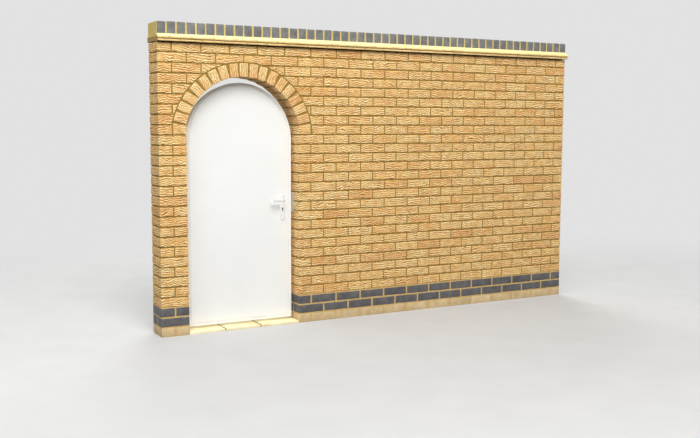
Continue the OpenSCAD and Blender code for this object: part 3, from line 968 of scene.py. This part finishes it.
# %% The fillet's section and path
SINK, SINK_RUN, WOBBLE, PATH_STEP = 0.008, 1.1, 0.0009, 0.04
fillet_low, fillet_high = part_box("fillet")
reach = front_y - fillet_low.y
end_share = (fillet_high.x - right_x) / reach
section = [(0.0, 0.0), (reach, 0.0), (reach, 0.003), (reach * 0.66, 0.010), (reach * 0.33, 0.0185),
           (0.0, fillet_high.z - fillet_low.z)]
path = [(x, front_y, (0, -1)) for x in np.arange(left_x, right_x - 0.01, PATH_STEP)]
path += [(right_x, front_y, (1, -1))]
path += [(right_x, y, (1, 0)) for y in np.arange(front_y + 0.03, back_y - 0.02, PATH_STEP)]
path += [(right_x, back_y, (1, 1))]
path += [(x, back_y, (0, 1)) for x in np.arange(right_x - PATH_STEP, left_x + 0.005, -PATH_STEP)]
path += [(left_x, back_y, (0, 1))]
print("points along the fillet:", len(path))

# %% Sweep the fillet round three sides
work = bmesh.new()
rings = []
for x, y, (out_x, out_y) in path:
    lift, pull = noise(np.array([[x * 9, y * 9, 3.0], [x * 14, y * 14, 8.0]]), 21) * WOBBLE - WOBBLE
    sink = SINK * max(0.0, 1 - (x - left_x) / SINK_RUN)
    row = []
    for m, (out, up) in enumerate(section):
        out += pull if m in (1, 2) else 0.0
        z = max(0, up + (lift if m in (2, 3, 4) else 0.0) - sink * up / section[-1][1])
        row.append(work.verts.new((x + out_x * out * end_share, y + out_y * out, fillet_low.z + z)))
    rings.append(row)
for first, second in zip(rings, rings[1:]):
    join_loops(work, first, second)
work.faces.new(rings[0][::-1])
work.faces.new(rings[-1])
fillet = finish_mesh(work, "creasing_fillet", cream_mortar)
dress(fillet, "creasing_fillet", nodes=["fillet"], smooth=35)

# %% [markdown]
# ## The coping
#
# The top is one row of dark bricks standing on edge, right across the wall. Each was set by eye, so its
# height and its gaps differ by a millimetre or two: copies of one brick would look too neat. One block of
# yellow mortar, a little inside them, makes all their joints.

# %% Stand the coping bricks
coping = Pile()
low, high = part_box("coping_bricks")
coping_count = round((high.x - low.x + JOINT) / COURSE)
spacing = (high.x - low.x + JOINT) / coping_count
MOST_NARROW, MOST_LOW, MOST_ALONG = 0.0022, 0.0026, 0.001
for n in range(coping_count):
    narrow, low_by, along = (
        float(v) for v in luck.uniform((0, 0, -MOST_ALONG), (MOST_NARROW, MOST_LOW, MOST_ALONG)))
    size = (BRICK_L, high.z - low.z - low_by, spacing - JOINT - narrow)
    made = brick(size, "lrb", smooth_relief, step=0.02, rows=3, corner=0.004, edge=0.0028, chips=0.0012,
                 seed=1300 + n)
    x = min(max(low.x + n * spacing + narrow / 2 + along, low.x), high.x - spacing + JOINT + narrow)
    coping.add(made, frame_at((x, low.y, low.z), (0, 1, 0), (0, 0, 1)), tone_of_brick())
build(coping, "coping_row", worn_brick, ["coping_bricks"])
print("coping bricks:", coping_count)

# %% The mortar of the coping
COPING_RAKE, COPING_DROP = 0.0025, 0.0045
mortar_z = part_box("coping_mortar")[0].z
solids("coping_joints", [
    (box_outline(low.x, high.x - COPING_RAKE, mortar_z, high.z - COPING_DROP),
     low.y + COPING_RAKE, high.y - COPING_RAKE)],
    yellow_mortar, ["coping_mortar"])

# %% [markdown]
# ## The threshold
#
# Three pale slabs lie between the jambs, two of one length and a longer one. Their tops are nearly flat,
# with a little split-stone relief. A bevelled box would be too true, so each is a fine grid that dips by
# noise and is rounded over at its edges. The joints between them are dark with soil, and the soil has
# crept over the arris on each side: the last strip of cells at both ends of a slab takes the joint's
# material.

# %% The slab stone
slab_stone = start_material("pale_slab_stone", 0.9)
place = object_place(slab_stone)
clouds = add_noise(slab_stone, place, 7.0, 5.0, 0.6)
level = mixture(slab_stone, clouds, 0.7, add_noise(slab_stone, place, 330.0, 2.0))
coat(slab_stone, add_ramp(slab_stone, level, [
    (0.34, (0.74, 0.585, 0.31)), (0.5, (0.87, 0.755, 0.455)), (0.66, (0.95, 0.87, 0.59))]), level, 0.0012)
print("made", slab_stone.name)

# %% Find the slabs in the model
slabs_low, slabs_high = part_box("threshold_slabs")
slab_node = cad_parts["threshold_slabs"]
slab_ends = sorted({round((slab_node.matrix_world @ corner.co).x, 4) for corner in slab_node.data.vertices})
slab_runs = list(zip(slab_ends[::2], slab_ends[1::2]))
print("slab lengths in millimetres:", [round((x1 - x0) * 1000) for x0, x1 in slab_runs])

# %% The top of a slab
SLAB_EDGE = {0: 0.005, 1: 0.0012}
SLAB_ARRIS, SLAB_INNER, SLAB_DIP = 0.0028, 0.008, 0.0009


def slab_places(length, cells):
    """Places across a slab: close together at its two edges, even between them."""
    middle = np.linspace(SLAB_INNER, length - SLAB_INNER, cells)
    return np.concatenate([[0, SLAB_ARRIS], middle, [length - SLAB_ARRIS, length]])


def edge_drop(n, count):
    """How far the top is rounded down at one place of a row."""
    return SLAB_EDGE.get(min(n, count - 1 - n), 0.0)


def slab_grid(work, slab, x0, xs, ys):
    """The points of a slab's top, row by row."""
    grid = []
    for i, x in enumerate(xs):
        places = np.column_stack([(x0 + x) * 20 + ys * 0, ys * 20, ys * 0 + slab])
        dips = noise(places, 31) * SLAB_DIP - SLAB_DIP
        drops = [max(edge_drop(i, len(xs)), edge_drop(j, len(ys))) for j in range(len(ys))]
        grid.append([work.verts.new((x0 + x, slabs_low.y + y, slabs_high.z + dip - drop))
                     for y, dip, drop in zip(ys, dips, drops)])
    return grid


print("a slab is rounded down by", SLAB_EDGE[0], "metres at its edge")

# %% Make the slabs
work = bmesh.new()
ys = slab_places(slabs_high.y - slabs_low.y, 17)
for slab, (x0, x1) in enumerate(slab_runs):
    grid = slab_grid(work, slab, x0, slab_places(x1 - x0, 24), ys)
    for i, (row, ahead) in enumerate(zip(grid, grid[1:])):
        for j in range(len(ys) - 1):
            cell = work.faces.new((row[j], ahead[j], ahead[j + 1], row[j + 1]))
            cell.material_index = int(i in (0, len(grid) - 2))
    rim = [row[0] for row in grid] + grid[-1][1:] + [row[-1] for row in grid[-2::-1]] + grid[0][-2:0:-1]
    foot = [work.verts.new((v.co.x, v.co.y, slabs_low.z)) for v in rim]
    join_loops(work, foot, rim)
    work.faces.new(foot)
stones = finish_mesh(work, "threshold_stones", slab_stone, soil_and_shade_mortar)
dress(stones, "threshold_stones", nodes=["threshold_slabs"], smooth=50)


# %% Soil the joints between the slabs
def refinish(node_name, material):
    """Gives a node of the model a finish that is made here."""
    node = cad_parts[node_name]
    for holder in node.material_slots:
        holder.material = material
    return node


print("darkened", refinish("threshold_joints", soil_and_shade_mortar).name)

# %% [markdown]
# ## White paint
#
# The door is painted in a white satin. Brushed paint isn't quite flat: it has a faint pull along the
# strokes and a slightly uneven sheen. A plain white shader would look like plastic, so both come from
# noise: one stretched up and down for the strokes, and a broad one for the sheen.

# %% The paint material
white_paint = start_material("white_satin_paint", 0.38)
place = object_place(white_paint)
strokes = add_noise(white_paint, place, (260, 260, 7), 3.0)
clouds = add_noise(white_paint, place, 2.6, 3.0)
paint_colour = add_ramp(white_paint, clouds, [(0.3, (0.885, 0.89, 0.88)), (0.7, (0.92, 0.923, 0.915))])
coat(white_paint, paint_colour, strokes, 0.00012)
sheen = map_range(white_paint, clouds, end=(0.32, 0.46))
join(white_paint, sheen, shader_of(white_paint).inputs["Roughness"])
print("made", white_paint.name)

# %% [markdown]
# ## The door leaf
#
# The leaf has a half-round head and a fine groove a finger's width inside its edge. Each outline is the
# same shape drawn in by a little more, so the whole leaf is a set of nested loops, joined one to the next
# like rings in a tree. Extra loops close together round each edge over, which leaves the curve of the
# head cleaner than a bevel would.

# %% Loops of the leaf
band_low, band_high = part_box("leaf_edge_band")
leaf_r = (band_high.x - band_low.x) / 2
head_z = band_high.z - leaf_r


def leaf_loop(inset, arc_steps=64, side_steps=10):
    """The leaf's outline drawn in by an inset, as points in X and Z, from the foot up and over."""
    r = leaf_r - inset
    foot = band_low.z + inset
    points = [(door_x + r, z) for z in np.linspace(foot, head_z, side_steps)[:-1]]
    points += [(door_x + r * math.cos(t), head_z + r * math.sin(t))
               for t in np.linspace(0, math.pi, arc_steps)]
    points += [(door_x - r, z) for z in np.linspace(head_z, foot, side_steps)[1:]]
    return points


def nested(profile, closed, name, nodes):
    """A painted piece from loops of the leaf: profile is a list of (inset, y). A closed profile joins its
    end to its start, and an open one is closed by a flat face at each end."""
    work = bmesh.new()
    loops = [[work.verts.new((x, y, z)) for x, z in leaf_loop(inset)] for inset, y in profile]
    for first, second in zip(loops, loops[1:]):
        join_loops(work, first, second)
    if closed:
        join_loops(work, loops[-1], loops[0])
    else:
        work.faces.new(loops[0])
        work.faces.new(loops[-1])
    return dress(finish_mesh(work, name, white_paint), name, "door", nodes, smooth=30)


print("points in a loop of the leaf:", len(leaf_loop(0)))

# %% Make the edge band and the panel
BAND, GROOVE, GROOVE_DEEP, SOFT = 0.018, 0.0035, 0.005, 0.0016
FLAT_IN, SLIGHT, UNDERCUT = 0.010, 0.0004, 0.0002
yf, yb = band_low.y, band_high.y


def softened(inset_out, inset_in, y, inward):
    """The rounded front or back of a strip between two insets. inward is the way into the leaf along Y."""
    s = SOFT
    return [(inset_out, y + inward * s), (inset_out + s * 0.29, y + inward * s * 0.29),
            (inset_out + s, y), (inset_in - s * 0.6, y),
            (inset_in - s * 0.17, y + inward * s * 0.17), (inset_in, y + inward * s * 0.6)]


band_profile = softened(0.0, BAND, yf, 1) + [(BAND, yf + GROOVE_DEEP), (BAND, yb - GROOVE_DEEP)]
band_profile += softened(0.0, BAND, yb, -1)[::-1]
nested(band_profile, True, "leaf_edge", ["leaf_edge_band"])

inner = BAND + GROOVE
panel_profile = [(inner + FLAT_IN, yf), (inner + SOFT, yf), (inner + SLIGHT, yf + SLIGHT),
                 (inner, yf + SOFT), (inner, yf + GROOVE_DEEP), (BAND + UNDERCUT, yf + GROOVE_DEEP)]
panel_profile += [(inset, yf + yb - y) for inset, y in panel_profile[::-1]]
nested(panel_profile, False, "leaf_face", ["leaf_panel"])

# %% [markdown]
# ## Satin metal
#
# The lever and its plates are bright metal, handled until it has a shine, and the keep is a duller grey.
# The hinges are black painted iron. A single roughness makes metal look computed, so each is a material
# whose roughness varies in fine streaks, with a faint bump so that highlights break up.

# %% The metal finishes
WORN_SHARE = 0.90


def metal_material(name, colour, roughness, spread, metallic=1.0, bump=0.00008):
    material = start_material(name, roughness)
    shader_of(material).inputs["Metallic"].default_value = metallic
    place = object_place(material)
    streaks = add_noise(material, place, (900, 900, 60), 3.0)
    blotches = add_noise(material, place, 45.0, 3.0)
    worn = tuple(c * WORN_SHARE for c in colour)
    coat(material, add_ramp(material, blotches, [(0.3, worn), (0.7, colour)]), streaks, bump)
    uneven = map_range(material, streaks, end=(roughness, roughness + spread))
    join(material, uneven, shader_of(material).inputs["Roughness"])
    return material


satin = metal_material("satin_metal", (0.93, 0.93, 0.925), 0.13, 0.10)
keep_metal = metal_material("dull_keep_metal", (0.88, 0.90, 0.84), 0.50, 0.15, 0.10)
black_iron = metal_material("black_painted_iron", (0.030, 0.030, 0.032), 0.42, 0.2, 0.0, 0.0003)
# Near black: painted shade inside the shallow keyhole, in place of the depth of a real one.
painted_keyhole_shade = metal_material("keyhole_painted_shade", (0.012, 0.012, 0.012), 0.7, 0.1, 0.0)
print("made", satin.name, keep_metal.name, black_iron.name, painted_keyhole_shade.name)

# %% [markdown]
# ## The backplates
#
# A plate has straight sides and a small round tab at each end. A thin rim lies on the door, and the middle
# stands up from it. The keyhole is a real hole and not just a dark patch, so the plate's face is filled
# with triangles round it. The hole is only a few millimetres deep, and its walls and floor are near black:
# painted shade for the depth of a real keyhole.

# %% Outlines of the plate and the keyhole
plate_low, plate_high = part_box("backplate_front")
lever_x = (plate_low.x + plate_high.x) / 2
lever_z = sum(corner.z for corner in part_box("spindle")) / 2
KEY_DROP, KEY_R, KEY_HALF_SLOT, KEY_SLOT = 0.062, 0.0065, 0.0035, 0.024
key_z = lever_z - KEY_DROP
PLATE_W, TAB = plate_high.x - plate_low.x, 0.013
shoulder_low, shoulder_high = plate_low.z + TAB, plate_high.z - TAB


def plate_loop(inset, steps=14):
    """The plate's outline in X and Z, drawn in by an inset."""
    half, r = PLATE_W / 2 - inset, TAB - inset
    rise = math.asin(-inset / r)
    low, high = shoulder_low + inset, shoulder_high - inset
    points = [(lever_x + half, low), (lever_x + half, high)]
    points += [(lever_x + r * math.cos(t), shoulder_high + r * math.sin(t))
               for t in np.linspace(rise, math.pi - rise, steps)]
    points += [(lever_x - half, high), (lever_x - half, low)]
    points += [(lever_x + r * math.cos(t), shoulder_low + r * math.sin(t))
               for t in np.linspace(math.pi - rise, math.pi * 2 + rise, steps)]
    return points


def keyhole_loop(steps=16):
    """A round hole with a slot under it."""
    first = math.asin(KEY_HALF_SLOT / KEY_R)
    turn = np.linspace(-math.pi / 2 + first, math.pi * 1.5 - first, steps)
    return [(lever_x + KEY_R * math.cos(t), key_z + KEY_R * math.sin(t)) for t in turn] + [
        (lever_x - KEY_HALF_SLOT, key_z - KEY_SLOT), (lever_x + KEY_HALF_SLOT, key_z - KEY_SLOT)]


print("plate", round(PLATE_W * 1000), "by", round((plate_high.z - plate_low.z) * 1000), "millimetres")

# %% Make the two plates
PLATE_FACE, KEYHOLE_FLOOR = 0.008, 0.0016
PLATE_STEPS = [(0.0, 0.0), (0.0, 0.0022), (0.0009, 0.003), (0.0036, 0.003), (0.0042, 0.0036),
               (0.0046, 0.0066), (0.0062, PLATE_FACE)]


def make_plate(name, y, out, node_name):
    """A plate on the door's face at y. out is the way it stands, -1 for the front and 1 for the back."""
    work = bmesh.new()
    loops = [[work.verts.new((x, y + out * height, z)) for x, z in plate_loop(inset)]
             for inset, height in PLATE_STEPS]
    for first, second in zip(loops, loops[1:]):
        join_loops(work, first, second)
    rim = loops[-1]
    hole = [work.verts.new((x, y + out * PLATE_FACE, z)) for x, z in keyhole_loop()]
    floor = [work.verts.new((v.co.x, y + out * KEYHOLE_FLOOR, v.co.z)) for v in hole]
    for tri in tessellate_polygon([[v.co for v in rim], [v.co for v in hole]]):
        work.faces.new([(rim + hole)[n] for n in tri])
    # The keyhole's walls and floor take the near-black finish, painted shade.
    for face in join_loops(work, hole, floor) + [work.faces.new(floor)]:
        face.material_index = 1
    work.faces.new(loops[0])
    plate = finish_mesh(work, name, satin, painted_keyhole_shade)
    return dress(plate, name, "door", [node_name], smooth=28)


make_plate("lock_plate_front", yf, -1, "backplate_front")
make_plate("lock_plate_back", yb, 1, "backplate_back")

# %% [markdown]
# ## The levers
#
# A lever is one bent bar: a collar on the plate, a neck that comes out, a bend and a long grip that thins
# a little and ends in a round tip. It is a circle carried along a path, with its size changing on the
# way. A curve with a bevel would do for the bar, but the collar and the tip are easier as circles.

# %% The path of a lever
COLLAR_R, NECK_R, BEND_R, TIP_R, SWELL = 0.0115, 0.0082, 0.0083, 0.0086, 0.0004
NECK_BASE, LEVER_REACH, LEVER_BEND = 0.0083, 0.042, 0.018


def lever_path(grip_end):
    """Places along the bar: the way to the grip's end, the way out of the door, and the radius."""
    far = NECK_BASE + LEVER_REACH
    path = [(0, NECK_BASE, COLLAR_R), (0, NECK_BASE + 0.004, COLLAR_R)]
    path += [(0, NECK_BASE + 0.0052, COLLAR_R - 0.001), (0, NECK_BASE + 0.0058, NECK_R + 0.0006)]
    path += [(0, NECK_BASE + d, NECK_R) for d in np.linspace(0.010, LEVER_REACH - LEVER_BEND, 3)]
    path += [(LEVER_BEND * (math.cos(t) - 1), far - LEVER_BEND + LEVER_BEND * math.sin(t), BEND_R)
             for t in np.linspace(0.2, math.pi / 2, 7)]
    path += [(-d, far, TIP_R + SWELL * math.sin((d - LEVER_BEND) / (grip_end - LEVER_BEND) * math.pi))
             for d in np.linspace(LEVER_BEND + 0.006, grip_end, 9)]
    path += [(-grip_end - TIP_R * math.sin(t), far, TIP_R * math.cos(t)) for t in np.linspace(0.3, 1.45, 5)]
    return path


print("circles along a lever:", len(lever_path(0.1)))

# %% Carry a circle along the path
LEVER_SIDES = 20


def make_lever(name, y, out, node_name):
    """A lever whose neck starts on the plate's face."""
    path = lever_path(lever_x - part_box(node_name)[0].x - TIP_R)
    work = bmesh.new()
    rings = []
    for n, (px, py, r) in enumerate(path):
        before, after = path[max(n - 1, 0)], path[min(n + 1, len(path) - 1)]
        ahead = Vector((after[0] - before[0], after[1] - before[1], 0)).normalized()
        across = Vector((-ahead.y, ahead.x, 0))
        row = []
        for t in np.arange(LEVER_SIDES) * 2 * math.pi / LEVER_SIDES:
            p = Vector((px, py, 0)) + across * r * math.cos(t) + Vector((0, 0, r * math.sin(t)))
            row.append(work.verts.new((lever_x + p.x, y + out * p.y, lever_z + p.z)))
        rings.append(row)
    for first, second in zip(rings, rings[1:]):
        join_loops(work, first, second)
    work.faces.new(rings[0])
    work.faces.new(rings[-1])
    return dress(finish_mesh(work, name, satin), name, "lever", [node_name], smooth=45)


make_lever("lever_garden_side", yf, -1, "lever_front")
make_lever("lever_far_side", yb, 1, "lever_back")

# %% [markdown]
# ## Small ironmongery
#
# The hooks, straps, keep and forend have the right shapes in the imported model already, so they aren't
# made again. A bevel takes the sharpness off their edges, and domed bolt heads and screws are added where
# such pieces are fixed.

# %% Finish the model's own metal
LEVELS = ("bottom", "middle", "top")
own_metal = [(kind + level, black_iron, 0.0008) for kind in ("hook_", "band_") for level in LEVELS]
own_metal += [("keep_plate", keep_metal, 0.0005)]
own_metal += [("lock_forend", satin, 0.0003), ("spindle", satin, 0.0003)]
for node_name, metal, width in own_metal:
    bevel = refinish(node_name, metal).modifiers.new("soft_edges", "BEVEL")
    bevel.width = width
    bevel.segments = 2
    bevel.limit_method = "ANGLE"
    bevel.angle_limit = math.radians(35)
print("finished", len(own_metal), "metal pieces of the model")

# %% Domed heads
DOME_SIDES = 16
DOME_STEPS = ((1.0, 0.0), (1.0, 0.25), (0.92, 0.55), (0.72, 0.83), (0.40, 0.97))


def domes(name, body, heads, size, material):
    """Low domes of one radius and height. Each head is its middle on the surface and the way it faces."""
    radius, height = size
    work = bmesh.new()
    for middle, facing in heads:
        up = Vector(facing).normalized()
        side = up.orthogonal().normalized()
        other = up.cross(side)
        turns = np.linspace(0, 2 * math.pi, DOME_SIDES + 1)[:-1]
        rings = [[work.verts.new(Vector(middle) + up * height * lift + (
            side * math.cos(t) + other * math.sin(t)) * radius * share) for t in turns]
            for share, lift in DOME_STEPS]
        for first, second in zip(rings, rings[1:]):
            join_loops(work, first, second)
        work.faces.new(rings[0])
        work.faces.new(rings[-1])
    return dress(finish_mesh(work, name, material), name, body, (), smooth=50)


print("a dome is", len(DOME_STEPS), "circles of", DOME_SIDES, "points")

# %% Fix the straps, hooks and plates
METAL_THICK, SCREW_IN_Y, SCREW_IN_Z = 0.005, 0.012, 0.014
BOLTS_FROM_EYE, BOLT_FROM_TIP = (0.11, 0.21, 0.31), 0.022
bolts, hook_screws = [], []
for level in LEVELS:
    low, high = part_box("band_" + level)
    bolts += [((x, yb + METAL_THICK, (low.z + high.z) / 2), (0, 1, 0))
              for x in (*(low.x + d for d in BOLTS_FROM_EYE), high.x - BOLT_FROM_TIP)]
    low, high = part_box("hook_" + level)
    hook_screws += [((low.x + METAL_THICK, y, z), (1, 0, 0))
                    for y in (low.y + SCREW_IN_Y, high.y - SCREW_IN_Y)
                    for z in (low.z + SCREW_IN_Z, high.z - SCREW_IN_Z)]
plate_screws = [((lever_x, y + out * PLATE_FACE, z), (0, out, 0))
                for y, out in ((yf, -1), (yb, 1)) for z in (shoulder_low - 0.001, shoulder_high + 0.001)]
domes("strap_bolts", "door", bolts, (0.0105, 0.0045), black_iron)
domes("hook_screws", "wall", hook_screws, (0.0052, 0.002), black_iron)
domes("plate_screws", "door", plate_screws, (0.0042, 0.0012), satin)

# %% [markdown]
# ## Floor, background and light
#
# The stage is a pale floor and a pale background, both a little below white, so that the white door stays
# the brightest thing in the picture. Near the wall the floor is a real surface that takes the wall's
# shadow. Farther out it fades into the background, so no horizon shows. Each kind of ray meets its own
# tone. The camera sees the pale one. Reflections see white, which keeps bright metal bright. For the
# light that reaches the wall, the floor is a mild grey, so it doesn't throw up more light than a garden
# would, and the sky is brighter overhead than at the horizon.

# %% Tell the rays apart
BACKGROUND = 0.76


def ray_tones(owner):
    """1 for rays that show the background, and the strength that each of them sees it at."""
    rays = owner.node_tree.nodes.new("ShaderNodeLightPath").outputs
    mirrored = rays["Is Glossy Ray"]
    shown = arithmetic(owner, "MAXIMUM", rays["Is Camera Ray"], mirrored)
    shown = arithmetic(owner, "MAXIMUM", shown, rays["Is Transmission Ray"])
    return shown, arithmetic(owner, "MAXIMUM", mirrored, BACKGROUND)


def show_instead(owner, kind, share, plain, strength, output):
    """Shows flat white at a strength instead of a plain shader, for a share of what an output sees."""
    white = through(owner, kind, {"Color": (1, 1, 1), "Strength": strength})
    chosen = through(owner, "ShaderNodeMixShader", {0: share, 1: plain, 2: white})
    join(owner, chosen, owner.node_tree.nodes[output].inputs["Surface"])


print("the background is shown at", BACKGROUND)

# %% Lay the floor
FLOOR, FADE = 40.0, (2.6, 7.0)
FLOOR_FOR_LIGHT = (0.15, 0.152, 0.145)
floor_mesh = bpy.data.meshes.new("stage_floor")
floor_corners = [(x, y, 0) for x, y in box_outline(-FLOOR, FLOOR, -FLOOR, FLOOR)]
floor_mesh.from_pydata(floor_corners, [], [(0, 1, 2, 3)])
floor = add_object("stage_floor", floor_mesh)
floor_paint = start_material("pale_floor", 0.9)
shown, strength = ray_tones(floor_paint)
place = object_place(floor_paint)
pale = add_ramp(floor_paint, add_noise(floor_paint, place, 3.0, 2.0), [
    (0.3, (0.515, 0.515, 0.512)), (0.7, (0.54, 0.54, 0.537))])
join(floor_paint, blend_colours(floor_paint, shown, FLOOR_FOR_LIGHT, pale),
     shader_of(floor_paint).inputs["Base Color"])
away = through(floor_paint, "ShaderNodeVectorMath", {0: place}, "Value", operation="LENGTH")
fade = map_range(floor_paint, away, start=FADE, how="SMOOTHSTEP")
show_instead(floor_paint, "ShaderNodeEmission", arithmetic(floor_paint, "MULTIPLY", fade, shown),
             shader_of(floor_paint).outputs[0], strength, "Material Output")
floor_mesh.materials.append(floor_paint)
floor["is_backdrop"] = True
print("the floor fades into the background from", FADE[0], "to", FADE[1], "metres")

# %% The sky
SKY_LOW, SKY_HIGH = 0.09, 0.50
world = bpy.data.worlds.new("pale_sky")
bpy.context.scene.world = world
world.use_nodes = True
sky = world.node_tree.nodes["Background"]
join(world, (0.93, 0.96, 1.0), sky.inputs["Color"])
direction = through(world, "ShaderNodeTexCoord", {}, "Generated")
overhead = through(world, "ShaderNodeSeparateXYZ", {0: direction}, "Z")
join(world, map_range(world, overhead, end=(SKY_LOW, SKY_HIGH)), sky.inputs["Strength"])
shown, strength = ray_tones(world)
show_instead(world, "ShaderNodeBackground", shown, sky.outputs[0], strength, "World Output")
print("sky strength from", SKY_LOW, "at the horizon to", SKY_HIGH, "overhead")

# %% [markdown]
# ## The lamps
#
# The key is a big round lamp, fourteen metres off, high in front of the wall and a little to its left. A
# lamp so wide has soft edges to its shade: under the tiles, and on the top of the door, which stands
# back under the arch. A weaker lamp far to the left lights the reveals, and one behind keeps the other
# side of the wall from going dull. A lamp's watts have to grow with the square of its distance, so
# moving it means setting its energy again.

# %% Hang the lamps
def hang_lamp(name, place, aim, size, energy, colour):
    """A round lamp that faces a point."""
    lamp_data = bpy.data.lights.new(name, "AREA")
    lamp_data.shape = "DISK"
    lamp_data.size, lamp_data.energy, lamp_data.color = size, energy, colour
    lamp = add_object(name, lamp_data)
    lamp.location = place
    toward = Vector(aim) - lamp.location
    lamp.rotation_euler = toward.to_track_quat("-Z", "Y").to_euler()
    print(name, "is", round(toward.length, 1), "metres from the wall")


hang_lamp("key_lamp", (-3.7, -9.4, 11.2), (-0.8, 0, 1.2), 9.2, 2230, (1.0, 0.985, 0.96))
hang_lamp("side_lamp", (-7.4, -3.0, 7.5), (-1.0, 0, 1.1), 5.0, 235, (0.94, 0.97, 1.0))
hang_lamp("back_lamp", (3.5, 9.0, 7.5), (0, 0, 1.2), 8.0, 830, (1.0, 0.99, 0.975))

# %% [markdown]
# ## Finish
#
# The picture is shown with plain display settings, so that each colour comes out about as it was written.
# The last lines print the size of the dressed part, which should agree with the size of the model.

# %% Print the size of the dressed part
bpy.context.scene.view_settings.view_transform = "Standard"
low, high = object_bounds()
print("size of the dressed part:", [round(b - a, 4) for a, b in zip(low, high)])
